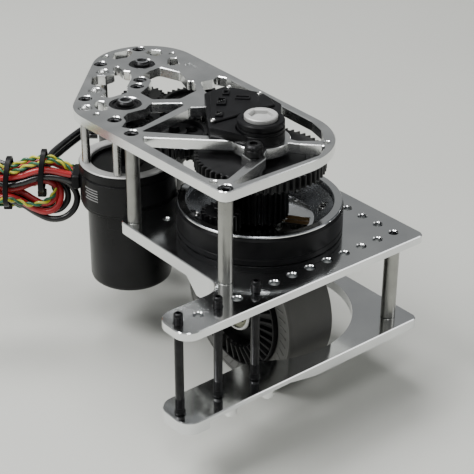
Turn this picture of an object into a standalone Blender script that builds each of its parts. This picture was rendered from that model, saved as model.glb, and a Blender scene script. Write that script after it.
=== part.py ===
"""A robot drive module: a wheel that is driven and steered by two motors through spur and bevel gears.

Every place is measured in millimetres from the first hole of the middle plate's front row, on the plate's
top face: X runs along that row of holes, Y runs back across the plate and Z is up. The empty
module_origin carries those places to the part's own origin, on the underside of the front flange.
"""
import math

import bmesh
import bpy
from mathutils import Matrix, Vector

MM = 0.001
GAP = 0.3                      # left between two pieces that rest on each other

# Plates. The tube they clamp is 50.8 mm tall.
PITCH = 12.7                   # the hole grid
FLANGE_T = 4.7625
TUBE = 50.8
BODY_T = 7.5                   # the middle plate behind its flange
SHOULDER_T = 16.5              # the rib that locates the tube
TOP_T = 6.35
TOP_Z = 55.5625                # top face of the upper plate
LOWER_Z = -(FLANGE_T + TUBE)   # top face of the lower plate
LEFT_X = 39.3                  # left edge of the two upper plates
RIGHT_X = 13 * PITCH
FRONT_Y = -PITCH
ROW_MIDDLE = 6.5 * PITCH

# Axes seen from above.
AXIS = (7.75 * PITCH, 4.25 * PITCH)      # the wheel steers about this one
MODULE = 1.27                  # gear module, 20 teeth to the inch of diameter
CENTRE_TEETH = 57
IDLER_TEETH = 33
PINION_TEETH = 20
STEER_IDLER_TEETH = 37
STEER_GEAR_TEETH = 40
STEER_PINION_TEETH = 31
AZIMUTH_TEETH = 62
TALL_TEETH = 26
TRANSFER_TEETH = 18
BEVEL_TEETH = 36
BEVEL_PINION_TEETH = 10
MOTOR_1_HEADING = math.radians(110.4)    # from the steering axis to the drive motor
MOTOR_2 = (111.0, 184.5)
STEER_IDLER = (131.0, 154.3)

# Gear levels.
UPPER_GEAR_Z = (38.0, 46.0)
LOWER_GEAR_Z = (28.0, 35.0)
AZIMUTH_GEAR_Z = (-11.6, -8.0)
TALL_Z = (8.0, 38.0)
TRANSFER_Z = (8.0, 19.0)

# Motors.
MOTOR_TOP_Z = 21.0
MOTOR_SPLIT_Z = -7.5
MOTOR_BOTTOM_Z = -58.5
HOUSING_R = 29.0
CAN_R = 25.0
SHAFT_R = 4.0
POST_R = 2.2
POST_RING_R = 24.6
MOTOR_1_POSTS = (157, 222, 62)
MOTOR_2_POSTS = (59, 142, 231)

# Leads, along a line that leaves the drive motor at this heading from the Y axis.
LEADS_TURN = math.radians(50.8)
OUTLET_Z = 8.0
OUTLET_HALF = 9.0
HANK_ALONG = (5.0, 88.0)
HANK_Z = (-24.0, 25.0)
HANK_DEPTH = (-15.0, 15.0)

# Turntable and wheel.
RING_R = 47.5
RING_TOP_Z = 18.0
TURNTABLE_R = 40.7
BOWL_R = 31.0                  # the flat floor inside the turntable's bowl
FLOOR_WINDOWS = ((-100, -30, -42), (20, 80, 80))    # headings: start, end at the hub, end at the rim
WHEEL_R = 47.6
WHEEL_W = 31.75
WHEEL_Z = -49.07
CORE_R = 35.6
LIP_X = -18.7
GEAR_R = (23.0, 34.4)          # inner and outer ends of the bevel teeth
TIP_X = (-21.0, -18.6)         # their tips, at the inner and outer ends
SHAFT_OFFSET = 28.2            # from the steering axis to the bevel shaft
LEG_X = (-27.5, -22.0)
RIGHT_LEG_X = (19.5, 25.0)
LEG_HALF_Y = 19.0
LEG_SLOT_Y = 11.2
LEG_SLOT_Z = -30.0
LEG_END_R = 8.0
AXLE_R = 4.0

MATERIALS = {
    "machined_aluminium": ((0.62, 0.63, 0.62), 0.28, 1.0),
    "black_anodised": ((0.020, 0.020, 0.022), 0.42, 0.4),
    "black_steel": ((0.030, 0.030, 0.032), 0.38, 0.9),
    "bright_steel": ((0.55, 0.55, 0.54), 0.3, 1.0),
    "grey_rubber": ((0.105, 0.105, 0.10), 0.7, 0.0),
    "black_plastic": ((0.025, 0.025, 0.027), 0.5, 0.0),
}


def clear_scene():
    for obj in list(bpy.data.objects):
        bpy.data.objects.remove(obj)


def make_materials():
    made = {}
    for name, (colour, rough, metal) in MATERIALS.items():
        material = bpy.data.materials.new(name)
        material.use_nodes = True
        shader = material.node_tree.nodes["Principled BSDF"]
        shader.inputs["Base Color"].default_value = (*colour, 1.0)
        shader.inputs["Roughness"].default_value = rough
        shader.inputs["Metallic"].default_value = metal
        made[name] = material
    return made


# ---- plane figures, in millimetres ----

def circle(centre, radius, count=24, start=0.0):
    turn = 2 * math.pi / count
    return [(centre[0] + radius * math.cos(start + turn * i), centre[1] + radius * math.sin(start + turn * i))
            for i in range(count)]


def rounded(corners, steps=3):
    """A polygon whose corners (x, y, radius) are turned into arcs. A radius of 0 keeps the corner."""
    points = []
    count = len(corners)
    for i, (x, y, radius) in enumerate(corners):
        if not radius:
            points.append((x, y))
            continue
        here = Vector((x, y))
        before = (Vector(corners[i - 1][:2]) - here).normalized()
        after = (Vector(corners[(i + 1) % count][:2]) - here).normalized()
        half = before.angle(after) / 2
        centre = here + (before + after).normalized() * radius / math.sin(half)
        first = here + before * radius / math.tan(half) - centre
        last = here + after * radius / math.tan(half) - centre
        sweep = first.angle_signed(last)
        for k in range(steps + 1):
            arm = Matrix.Rotation(-sweep * k / steps, 2) @ first
            points.append(tuple(centre + arm))
    return points


def evenly(corners, radius, steps=1):
    return rounded([(x, y, radius) for x, y in corners], steps)


def hull(points):
    """The convex outline round a set of points, counter-clockwise."""
    points = sorted(set(points))

    def chain(run):
        line = []
        for p in run:
            while len(line) > 1 and ((line[-1][0] - line[-2][0]) * (p[1] - line[-2][1])
                                     <= (line[-1][1] - line[-2][1]) * (p[0] - line[-2][0])):
                line.pop()
            line.append(p)
        return line[:-1]
    return chain(points) + chain(points[::-1])


def polar(centre, radius, angle):
    return (centre[0] + radius * math.cos(angle), centre[1] + radius * math.sin(angle))


def teeth_outline(teeth, phase=0.0, tip=0.8, root=1.05, width=0.19, module=MODULE, tip_radius=None):
    """A spur gear's outline. The phase is in tooth pitches, and puts a tooth's middle at angle zero."""
    pitch_r = teeth * module / 2
    tip_r = tip_radius or pitch_r + tip * module
    root_r = tip_r - (tip + root) * module
    step = 2 * math.pi / teeth
    points = []
    for i in range(teeth):
        middle = (i + phase) * step
        for side, radius, share in ((-1, root_r, 1.45), (-1, tip_r, 0.55), (1, tip_r, 0.55), (1, root_r, 1.45)):
            angle = middle + side * share * width * step
            points.append((radius * math.cos(angle), radius * math.sin(angle)))
    return points


# ---- solids ----

def finish(bm, name, material, location=(0, 0, 0), rotation=(0, 0, 0), smooth=30):
    """Turns a bmesh drawn in millimetres into a placed object."""
    bmesh.ops.recalc_face_normals(bm, faces=bm.faces)
    bmesh.ops.scale(bm, vec=(MM, MM, MM), verts=bm.verts)
    mesh = bpy.data.meshes.new(name)
    bm.to_mesh(mesh)
    bm.free()
    obj = bpy.data.objects.new(name, mesh)
    bpy.context.scene.collection.objects.link(obj)
    obj.parent = ORIGIN
    obj.location = Vector(location) * MM
    obj.rotation_euler = rotation
    if material:
        mesh.materials.append(PAINT[material])
    if smooth:
        mesh.shade_smooth()
        mesh.set_sharp_from_angle(angle=math.radians(smooth))
    return obj


def prism_mesh(outline, z0, z1, holes=()):
    """An outline with holes, drawn up from z0 to z1."""
    bm = bmesh.new()
    for ring in (outline, *holes):
        verts = [bm.verts.new((x, y, z0)) for x, y in ring]
        for i, vert in enumerate(verts):
            bm.edges.new((vert, verts[(i + 1) % len(verts)]))
    bmesh.ops.triangle_fill(bm, use_beauty=True, use_dissolve=False, edges=bm.edges[:])
    grown = bmesh.ops.extrude_face_region(bm, geom=bm.faces[:])
    top = [v for v in grown["geom"] if isinstance(v, bmesh.types.BMVert)]
    bmesh.ops.translate(bm, vec=(0, 0, z1 - z0), verts=top)
    return bm


def prism(name, material, outline, z0, z1, holes=(), **place):
    return finish(prism_mesh(outline, z0, z1, holes), name, material, **place)


def lathe_mesh(profile, count):
    """A closed outline of (radius, height) points turned about Z. Points on the axis become poles."""
    bm = bmesh.new()
    rings = []
    for radius, height in profile:
        if radius < 1e-6:
            rings.append([bm.verts.new((0, 0, height))] * count)
        else:
            rings.append([bm.verts.new((x, y, height)) for x, y in circle((0, 0), radius, count)])
    for a, b in zip(rings, rings[1:] + rings[:1]):
        for i in range(count):
            j = (i + 1) % count
            corner = list(dict.fromkeys((a[i], a[j], b[j], b[i])))
            if len(corner) > 2:
                bm.faces.new(corner)
    return bm


def lathe(name, material, profile, count=24, **place):
    return finish(lathe_mesh(profile, count), name, material, **place)


def tube(name, material, inner, outer, z0, z1, count=20, **place):
    profile = [(inner, z0), (outer, z0), (outer, z1), (inner, z1)]
    return lathe(name, material, profile, count, **place)


def rod(name, material, radius, z0, z1, count=12, chamfer=0.4, **place):
    profile = [(0, z0), (radius - chamfer, z0), (radius, z0 + chamfer), (radius, z1 - chamfer),
               (radius - chamfer, z1), (0, z1)]
    return lathe(name, material, profile, count, **place)


def hide(obj):
    obj.hide_render = True
    obj.display_type = "WIRE"
    return obj


def combine(obj, tool, operation, solver="EXACT"):
    modifier = obj.modifiers.new(operation.lower(), "BOOLEAN")
    modifier.object = hide(tool)
    modifier.operation = operation
    modifier.solver = solver
    return obj


def cut(obj, tool, solver="EXACT"):
    return combine(obj, tool, "DIFFERENCE", solver)


def join(obj, tool):
    return combine(obj, tool, "UNION")


def gear(name, material, teeth, z0, z1, bore, location, **shape):
    holes = [circle((0, 0), bore, 20)] if bore else []
    return prism(name, material, teeth_outline(teeth, **shape), z0, z1, holes,
                 location=(*location, 0), smooth=0)


# ---- places that follow from the gears ----

def spacing(first, second):
    return (first + second) * MODULE / 2


def meeting(a, ra, b, rb, side):
    """Where circles about a and b cross."""
    a, b = Vector(a), Vector(b)
    gap = (b - a).length
    along = (gap * gap + ra * ra - rb * rb) / (2 * gap)
    away = math.sqrt(max(ra * ra - along * along, 0.0))
    forward = (b - a) / gap
    return tuple(a + forward * along + Vector((-forward.y, forward.x)) * away * side)


def heading(a, b):
    return math.atan2(b[1] - a[1], b[0] - a[0])


def phase_for(leader_centre, leader_teeth, leader_phase, centre, teeth):
    """The phase that puts a gap of this gear over the tooth of the one that it meshes with."""
    out = heading(leader_centre, centre)
    at_leader = (out / (2 * math.pi) * leader_teeth - leader_phase) % 1.0
    back = (out + math.pi) / (2 * math.pi) * teeth
    return (back + at_leader + 0.5) % 1.0


IDLER = polar(AXIS, spacing(CENTRE_TEETH, IDLER_TEETH), MOTOR_1_HEADING)
MOTOR_1 = polar(AXIS, spacing(CENTRE_TEETH, IDLER_TEETH) + spacing(IDLER_TEETH, PINION_TEETH), MOTOR_1_HEADING)
STEER_SHAFT = meeting(AXIS, spacing(AZIMUTH_TEETH, STEER_PINION_TEETH),
                      STEER_IDLER, spacing(STEER_IDLER_TEETH, STEER_GEAR_TEETH), 1)
STEER_IDLER = meeting(MOTOR_2, spacing(PINION_TEETH, STEER_IDLER_TEETH),
                      STEER_SHAFT, spacing(STEER_IDLER_TEETH, STEER_GEAR_TEETH), 1)
BEVEL_SHAFT = (AXIS[0] - SHAFT_OFFSET, AXIS[1])

NEAR_POST = (44.3, 17.4)
LEFT_POST = (45.6, 102.8)
BACK_POST = (134.0, 93.0)
CORNER_POST = (12 * PITCH, 0.0)


# ---- plates ----

def middle_plate():
    outline = rounded([(-5.5, FRONT_Y, 9), (RIGHT_X, FRONT_Y, 4), (RIGHT_X, 70, 10), (141, 101, 10), (114, 127, 9),
                       (94, 124, 5), (88, 112.4, 3), (LEFT_X, 112.4, 8), (LEFT_X, -FRONT_Y, 12),
                       (-5.5, -FRONT_Y, 9)])
    holes = [circle((i * PITCH, 0), 2.6, 8) for i in range(13)]
    holes += [circle((12 * PITCH, j * PITCH), 2.6, 8) for j in (1, 2, 3)]
    holes += [circle((61.6, 93.1), 2.0, 8), circle(STEER_SHAFT, 4.0, 16)]
    holes += [circle(AXIS, TURNTABLE_R + 0.4, 48)]
    plate = prism("middle_plate", "machined_aluminium", outline, -SHOULDER_T, 0, holes)
    deep = -40.0
    side = [(-20, deep), (PITCH + 0.1, deep), (PITCH + 0.1, -FLANGE_T), (-20, -FLANGE_T)]
    under = [(36.4, deep), (36.4, -SHOULDER_T + 0.4), (45.3, -BODY_T), (131, -BODY_T), (131, deep)]
    for name, section in (("front_relief", side), ("rear_relief", under)):
        tool = prism_mesh([(-y, z) for y, z in section], -20, 200)
        bmesh.ops.rotate(tool, cent=(0, 0, 0), matrix=Matrix(((0, 0, 1), (-1, 0, 0), (0, 1, 0))), verts=tool.verts)
        cut(plate, finish(tool, name, None, smooth=0), "MANIFOLD")
    right = prism("right_relief", None, [(11 * PITCH, -30), (190, -30), (190, 150), (11 * PITCH, 150)], deep,
                  -FLANGE_T, smooth=0)
    cut(plate, right, "MANIFOLD")
    beside = lathe("motor_relief", None, [(0, -30), (HOUSING_R + 0.6, -30), (HOUSING_R + 0.6, 5), (0, 5)], 48,
                   location=(*MOTOR_1, 0))
    cut(plate, beside, "MANIFOLD")


def lower_plate():
    """A corner plate with a round opening for the wheel. Its underside is thinned between pads."""
    radius = 55.7
    outline = rounded([(-5.5, FRONT_Y, 9), (RIGHT_X, FRONT_Y, 4), (RIGHT_X, 100, 8), (143, 100, 8), (143, 92, 3),
                       (100, 20, 3), (60, 14, 3), (-5.5, 14, 9)])
    plate = prism("lower_plate", "machined_aluminium", outline, LOWER_Z - 7.9, LOWER_Z,
                  [circle((i * PITCH, 0), 2.6, 8) for i in (0, 2, 4)])
    opening = lathe("wheel_opening", None, [(0, -20), (radius, -20), (radius, 20), (0, 20)], 48,
                    location=(*AXIS, LOWER_Z))
    cut(plate, opening)
    thin, normal = LOWER_Z - 3.0, LOWER_Z - 6.35
    floor = LOWER_Z - 20
    section = [(10, thin), (66, thin), (84, normal), (190, normal), (190, floor), (10, floor)]
    tool = prism_mesh(section, -30, 130)
    bmesh.ops.rotate(tool, cent=(0, 0, 0), matrix=Matrix.Rotation(math.radians(90), 3, "X"), verts=tool.verts)
    bmesh.ops.translate(tool, vec=(0, 100, 0), verts=tool.verts)
    cut(plate, finish(tool, "underside_relief", None, smooth=0))
    for i, x in enumerate((26.0, 52.0)):
        foot = [(x - 3, -12.4), (x + 3, -12.4), (x + 3, -4), (x - 3, -4)]
        join(plate, prism(f"pad_{i}", None, foot, LOWER_Z - 7.4, LOWER_Z - 1.5, smooth=0))


TOP_SCREWS = {
    "near": NEAR_POST, "left": LEFT_POST, "back": BACK_POST, "motor_a": (49.4, 123.6), "motor_b": (44.5, 148.5),
    "motor_c": (52.2, 160.4), "motor_d": (64.0, 166.5), "motor_e": (84.3, 188.4), "motor_f": (89.2, 201.3),
    "motor_g": (98.6, 211.3), "motor_h": (124.5, 207.0), "pair_a": (94.5, 164.4), "pair_b": (87.6, 156.6),
}
SMALL_HOLES = ((44.7, 136.4), (43.8, 26.4), (136.0, 187.0), (122.4, 26.0), (80.0, 38.0))
HUB_R = 16.7                   # the disc at the steering axis that the encoder stands on
BACK_LOBE = (111.5, 181.2)     # centre of the upper plate's end over the steering motor


def hub_arc(start, end, steps=8):
    """Corners on the hub's edge, from one heading in degrees to another."""
    return [(*polar(AXIS, HUB_R, math.radians(start + (end - start) * i / steps)), 0) for i in range(steps + 1)]


def pockets():
    """The windows that leave the arms between the bosses, each an outline."""
    round_about = 2.0
    made = [evenly(corners, round_about) for corners in (
        [(100, 201), (108, 211), (118, 210), (119, 205), (110, 199)],
        [(134, 195), (129, 201), (123.5, 199), (124.5, 190), (130, 190)],
        [(74, 185), (78, 185.5), (82, 181.5), (89, 182.5), (93.5, 191), (97, 190), (95, 182), (98, 178), (92, 169),
         (83, 160.5), (77, 152), (65, 152), (60.5, 157), (69, 162), (70, 170), (67.5, 176)],
        [(100, 169), (108, 172), (116, 173), (121, 158), (116, 144), (119, 141), (111, 129), (96, 125), (83, 134),
         (83, 147), (93, 152.5), (100, 159)],
        [(78, 130), (93, 119), (92, 116), (55, 106), (49, 107.5), (46, 113), (53, 118.5), (55, 124), (60, 127),
         (72, 126)],
        [(55.5, 153.5), (59, 149), (54, 138), (49.5, 139), (50, 147)],
        [(129.5, 182.5), (134, 178.5), (128, 168.5), (121.5, 172)],
    )]
    large = [(51, 101.5, 1.2), (91, 109.5, 3), (92.5, 111, 1), (101.5, 105.2, 2), (114.5, 117, 3),
             (114.5, 124.5, 2), (121.5, 138.5, 2), (130.5, 136.5, 3), (135, 139, 1), (137.6, 133, 2),
             (136.5, 100, 4), (129, 97, 3), (129, 89, 3), (136, 86, 4), (134.5, 52, 5), (131, 40, 4),
             (123.4, 29.6, 1.5), (120.2, 30.2, 1), (111.2, 37.4, 1), *hub_arc(-48, 146), (85, 64.2, 1)]
    lower = [*hub_arc(160, 204, 4), (76, 43.5, 1.5), (75, 34.5, 2), (51, 24.5, 1.5), (46.5, 28.5, 2), (44, 33, 2),
             (44, 88, 1.5), (47, 94.2, 1)]
    front = [(79, 29.5, 2), (50.5, 19.5, 1.5), (53, 16.5, 2), (108, 16.5, 6), (119, 23, 2), (109, 33.5, 1),
             *hub_arc(-66, -118, 5), (85.5, 35.5, 2), (83, 31, 2)]
    made += [rounded(corners, 2) for corners in (large, lower, front)]
    return made


def upper_plate():
    outline = hull(circle(MOTOR_1, 30.4, 36) + circle(BACK_LOBE, 33.7, 36) + circle(AXIS, 41.3, 40)
                   + circle((LEFT_X + 5, -FRONT_Y + 4.7), 5, 12))
    holes = pockets()
    holes += [circle(place, 3.4, 12) for place in TOP_SCREWS.values()]
    holes += [circle(place, 1.9, 8) for place in SMALL_HOLES]
    holes += [circle(place, 7.7, 24) for place in (MOTOR_1, MOTOR_2)]
    holes += [circle(AXIS, 5.0, 20)]
    prism("upper_plate", "machined_aluminium", outline, TOP_Z - TOP_T, TOP_Z, holes)


def posts_and_fasteners():
    for i in range(3):
        long = [(0, LOWER_Z - 2.4), (2.3, LOWER_Z - 2.4), (2.3, LOWER_Z + GAP), (4.0, LOWER_Z + GAP),
                (4.0, LOWER_Z + 2.0), (2.3, LOWER_Z + 2.0), (2.3, 5.4), (1.6, 6.1), (0, 6.1)]
        lathe(f"flange_rod_{i + 1}", "black_steel", long, 10, location=(2 * i * PITCH, 0, 0))
    rod("corner_standoff", "machined_aluminium", 4.0, LOWER_Z + GAP, -FLANGE_T - GAP, location=(*CORNER_POST, 0))
    under = TOP_Z - TOP_T - GAP
    for name, place in (("near", NEAR_POST), ("left", LEFT_POST), ("back", BACK_POST)):
        rod(f"{name}_standoff", "machined_aluminium", 3.8, GAP, under, location=(*place, 0))
    for name, place in (("near", NEAR_POST), ("left", LEFT_POST)):
        lathe(f"{name}_standoff_screw", "black_steel",
              [(0, TOP_Z - 5.5), (3.0, TOP_Z - 5.5), (3.0, TOP_Z - 1.2), (1.6, TOP_Z - 1.2), (1.6, TOP_Z - 3.2),
               (0, TOP_Z - 3.2)], 10, location=(*place, 0))


# ---- motors ----

def motor(number, place, post_angles, gear_z):
    name = f"motor_{number}"
    top = MOTOR_TOP_Z
    lathe(f"{name}_housing", "black_anodised",
          [(0, MOTOR_SPLIT_Z), (HOUSING_R - 1, MOTOR_SPLIT_Z), (HOUSING_R, MOTOR_SPLIT_Z + 1), (HOUSING_R, top - 0.8),
           (HOUSING_R - 0.8, top), (22, top), (22, top - 4), (SHAFT_R + GAP, top - 4),
           (SHAFT_R + GAP, top - 12), (0, top - 12)], 32, location=(*place, 0))
    lathe(f"{name}_can", "black_anodised",
          [(0, MOTOR_BOTTOM_Z), (CAN_R - 3, MOTOR_BOTTOM_Z), (CAN_R, MOTOR_BOTTOM_Z + 3),
           (CAN_R, MOTOR_SPLIT_Z - GAP), (0, MOTOR_SPLIT_Z - GAP)], 28, location=(*place, 0))
    lathe(f"{name}_shaft", "black_steel",
          [(0, top - 11.5), (SHAFT_R, top - 11.5), (SHAFT_R, TOP_Z - 0.6), (4.7, TOP_Z - 0.6),
           (4.7, TOP_Z + 1.4), (3.6, TOP_Z + 2.4), (0, TOP_Z + 2.4)], 16, location=(*place, 0))
    gear(f"{name}_pinion", "black_steel", PINION_TEETH, *gear_z, SHAFT_R + GAP, place, phase=PHASE[name])
    tube(f"{name}_shaft_bearing", "black_steel", SHAFT_R + GAP, 7.4, TOP_Z - 5.9, TOP_Z - 0.9,
         location=(*place, 0))
    for i, degrees in enumerate(post_angles):
        spot = polar(place, POST_RING_R, math.radians(degrees))
        rod(f"{name}_post_{i + 1}", "bright_steel", POST_R, top + GAP, TOP_Z - TOP_T - GAP, 8,
            location=(*spot, 0))


# ---- gear trains on the frame ----

def frame_gears():
    gear("centre_gear", "black_steel", CENTRE_TEETH, *UPPER_GEAR_Z, 5.1, AXIS, phase=PHASE["centre"])
    gear("tall_gear", "black_steel", TALL_TEETH, TALL_Z[0], TALL_Z[1] - GAP, 5.1, AXIS, tip_radius=16.6)
    gear("drive_idler_gear", "black_steel", IDLER_TEETH, *UPPER_GEAR_Z, 3.4, IDLER, phase=PHASE["idler"])
    gear("steering_idler_gear", "black_steel", STEER_IDLER_TEETH, *LOWER_GEAR_Z, 4.4, STEER_IDLER,
         phase=PHASE["steer_idler"])
    under = TOP_Z - TOP_T - GAP
    for name, place, gear_z, radius in (("drive_idler_axle", IDLER, UPPER_GEAR_Z, 3.1),
                                        ("steering_idler_axle", STEER_IDLER, LOWER_GEAR_Z, 4.1)):
        low = gear_z[0] - GAP
        lathe(name, "black_steel", [(0, low - 2), (radius + 2, low - 2), (radius + 2, low), (radius, low),
                                    (radius, under), (0, under)], 16, location=(*place, 0))
    rod("steering_shaft", "bright_steel", 3.0, AZIMUTH_GEAR_Z[0] - 1, under, location=(*STEER_SHAFT, 0))
    gear("steering_gear", "black_steel", STEER_GEAR_TEETH, *LOWER_GEAR_Z, 3.3, STEER_SHAFT,
         phase=PHASE["steer_gear"])
    gear("steering_pinion", "black_steel", STEER_PINION_TEETH, *AZIMUTH_GEAR_Z, 3.3, STEER_SHAFT,
         phase=PHASE["steer_pinion"])


def encoder():
    tube("encoder_barrel", "black_plastic", 4.2, 13.3, TOP_Z + GAP, 66.0, 32, location=(*AXIS, 0))
    lathe("encoder_cap", "machined_aluminium",
          [(0, 66.3), (9.6, 66.3), (9.6, 68.2), (8.6, 69.4), (5.4, 69.4), (5.4, 68.4), (0, 68.4)], 24,
          location=(*AXIS, 0))
    body = [(76, 72, 2), *[(*polar(AXIS, 13.7, math.radians(195 - 25 * i)), 0) for i in range(10)], (120, 62, 2),
            (129, 72, 3), (131, 92, 4), (120, 113, 4), (104, 112, 3)]
    prism("encoder_body", "black_plastic", rounded(body), TOP_Z + GAP, 62.5)


# ---- leads ----

def smooth_route(points, count):
    """Points at even distances along a smooth curve through the given ones."""
    points = [Vector(p) for p in points]
    points = [2 * points[0] - points[1], *points, 2 * points[-1] - points[-2]]
    curve = []
    for a, b, c, d in zip(points, points[1:], points[2:], points[3:]):
        for k in range(24):
            t = k / 24
            curve.append(((2 * b) + (c - a) * t + (2 * a - 5 * b + 4 * c - d) * t * t
                          + (3 * b - a - 3 * c + d) * t ** 3) / 2)
    curve.append(points[-2])
    far = [0.0]
    for p, q in zip(curve, curve[1:]):
        far.append(far[-1] + (q - p).length)
    even = []
    for i in range(count):
        goal = far[-1] * i / (count - 1)
        k = min(next((j for j in range(1, len(far)) if far[j] >= goal), len(far) - 1), len(far) - 1)
        share = (goal - far[k - 1]) / (far[k] - far[k - 1])
        even.append(curve[k - 1].lerp(curve[k], share))
    return even


def lead(name, material, radius, route, count):
    curve = bpy.data.curves.new(name, "CURVE")
    curve.dimensions = "3D"
    curve.bevel_depth = radius * MM
    curve.bevel_resolution = 2
    curve.use_fill_caps = True
    spline = curve.splines.new("POLY")
    places = smooth_route(route, count)
    spline.points.add(len(places) - 1)
    for point, place in zip(spline.points, places):
        point.co = (*(place * MM), 1)
    curve.materials.append(PAINT[material])
    obj = bpy.data.objects.new(name, curve)
    bpy.context.scene.collection.objects.link(obj)
    obj.parent = ORIGIN


def beside_motor(along, height, depth=0.0):
    """A place from the drive motor's outlet: along the leads, up, and away towards the motor's back."""
    left = Vector((-math.sin(LEADS_TURN), math.cos(LEADS_TURN), 0))
    back = Vector((math.cos(LEADS_TURN), math.sin(LEADS_TURN), 0))
    return Vector((*MOTOR_1, height)) + left * (HOUSING_R + along) + back * depth


def leads():
    """Both motors' leads meet in one folded bundle, kept here as its outer shape."""
    turn = (0, 0, LEADS_TURN + math.pi / 2)
    block = [(1, -OUTLET_HALF), (4.5, -OUTLET_HALF), (4.5, OUTLET_HALF), (1, OUTLET_HALF)]
    finish(prism_mesh(block, -4.5, 4.5), "motor_1_outlet", "black_plastic", beside_motor(0, OUTLET_Z), turn,
           smooth=0)
    start = Vector((*MOTOR_2, 0)) + (beside_motor(1.0, OUTLET_Z) - Vector((*MOTOR_1, 0)))
    away = (beside_motor(1, 0) - beside_motor(0, 0)).normalized()
    goal = beside_motor(20, 9, HANK_DEPTH[1] + 2 * GAP)
    back = (beside_motor(0, 0, 1) - beside_motor(0, 0, 0)).normalized()
    route = [start, start + away * 5, start + away * 10, goal + back * 14 - away * 1.5, goal + back * 6, goal]
    lead("motor_2_leads", "black_plastic", 4.0, route, 13)
    low, high = HANK_Z
    radius = (high - low) / 2
    first, last = HANK_ALONG
    side = [polar((x, low + radius), radius, math.radians(start_angle + 22.5 * i))
            for x, start_angle in ((last - radius, -90), (first + radius, 90)) for i in range(9)]
    bm = prism_mesh(side, -HANK_DEPTH[1], -HANK_DEPTH[0])
    bmesh.ops.rotate(bm, cent=(0, 0, 0), matrix=Matrix.Rotation(math.radians(90), 3, "X"), verts=bm.verts)
    finish(bm, "lead_bundle", "black_plastic", beside_motor(0, 0), turn)
    plug = rounded([(0.3, -8, 1), (17, -8, 1), (17, 8, 1), (0.3, 8, 1)], 2)
    finish(prism_mesh(plug, -6, 8), "lead_connector", "black_plastic", beside_motor(last, 0), turn)


# ---- turntable, fork and wheel ----

def azimuth_ring():
    inner = RING_R - 3.0
    lathe("azimuth_housing", "black_anodised",
          [(inner, GAP), (RING_R - 0.6, GAP), (RING_R, 1), (RING_R, 15.2), (RING_R - 0.8, 16.2), (inner, 16.2)],
          40, location=(*AXIS, 0))
    tube("azimuth_bearing", "bright_steel", 41.1, 44.2, GAP, 6.2, 40, location=(*AXIS, 0))


def arc(radius, start, end, steps=6):
    """Places on a circle about the origin, between two headings in degrees."""
    return [polar((0, 0), radius, math.radians(start + (end - start) * k / steps)) for k in range(steps + 1)]


def turntable():
    profile = [(6, 0.8), (34, 0.8), (34, -7.7), (TURNTABLE_R, -7.7), (TURNTABLE_R, 6.6), (43.9, 6.6), (43.9, 16.5),
               (46.9, 16.5), (46.9, RING_TOP_Z), (41.8, RING_TOP_Z), (41.8, 14), (BOWL_R, 6), (6, 6)]
    table = lathe("turntable", "machined_aluminium", profile, 40, location=(*AXIS, 0))
    cut(table, lathe("shaft_bore", None, [(0, -2), (6.2, -2), (6.2, 12), (0, 12)], 20,
                     location=(*BEVEL_SHAFT, 0)), "MANIFOLD")
    cut(table, lathe("gear_recess", None, [(0, 6.6), (12.2, 6.6), (12.2, 15), (0, 15)], 24,
                     location=(*BEVEL_SHAFT, 0)), "MANIFOLD")
    for i, (start, inner_end, outer_end) in enumerate(FLOOR_WINDOWS):
        window = arc(14, start, inner_end) + arc(29, outer_end, start)
        cut(table, prism(f"floor_window_{i}", None, window, -1, 9, location=(*AXIS, 0), smooth=0), "MANIFOLD")
    azimuth = teeth_outline(AZIMUTH_TEETH, phase=PHASE["azimuth"])
    prism("azimuth_gear", "black_steel", azimuth, *AZIMUTH_GEAR_Z, [circle((0, 0), 34.3, 32)],
          location=(*AXIS, 0), smooth=0)
    rod("encoder_shaft", "bright_steel", 3.0, 6 + GAP, TOP_Z + 4, 20, location=(*AXIS, 0))


def leg_outline(top):
    """A fork leg from the front: straight sides that run down to a round end about the axle."""
    end = WHEEL_Z
    side = -31.0
    slope = math.atan2(side - end, LEG_HALF_Y - LEG_END_R)
    turn = math.pi / 2 - slope
    arc = [polar((0, end), LEG_END_R, turn * 0.2 - (math.pi + 0.4 * turn) * k / 8) for k in range(9)]
    return [(-LEG_HALF_Y, top), (LEG_HALF_Y, top), (LEG_HALF_Y, side), *arc, (-LEG_HALF_Y, side)]


def fork_leg(name, x0, x1, slotted):
    """The outline stands in the YZ plane and is drawn out along X."""
    bm = prism_mesh(leg_outline(0.5), x0, x1, [circle((0, WHEEL_Z), AXLE_R + GAP, 20)])
    bmesh.ops.rotate(bm, cent=(0, 0, 0), matrix=Matrix(((0, 0, 1), (1, 0, 0), (0, 1, 0))), verts=bm.verts)
    leg = finish(bm, name, "machined_aluminium", location=(*AXIS, 0))
    if slotted:
        slot = [(x0 - 5, -LEG_SLOT_Y), (x1 + 5, -LEG_SLOT_Y), (x1 + 5, LEG_SLOT_Y), (x0 - 5, LEG_SLOT_Y)]
        cut(leg, prism(f"{name}_slot", None, slot, LEG_SLOT_Z, 10, location=(*AXIS, 0), smooth=0))


ALONG_X = (0, math.pi / 2, 0)    # turns a lathe's Z to X


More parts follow.
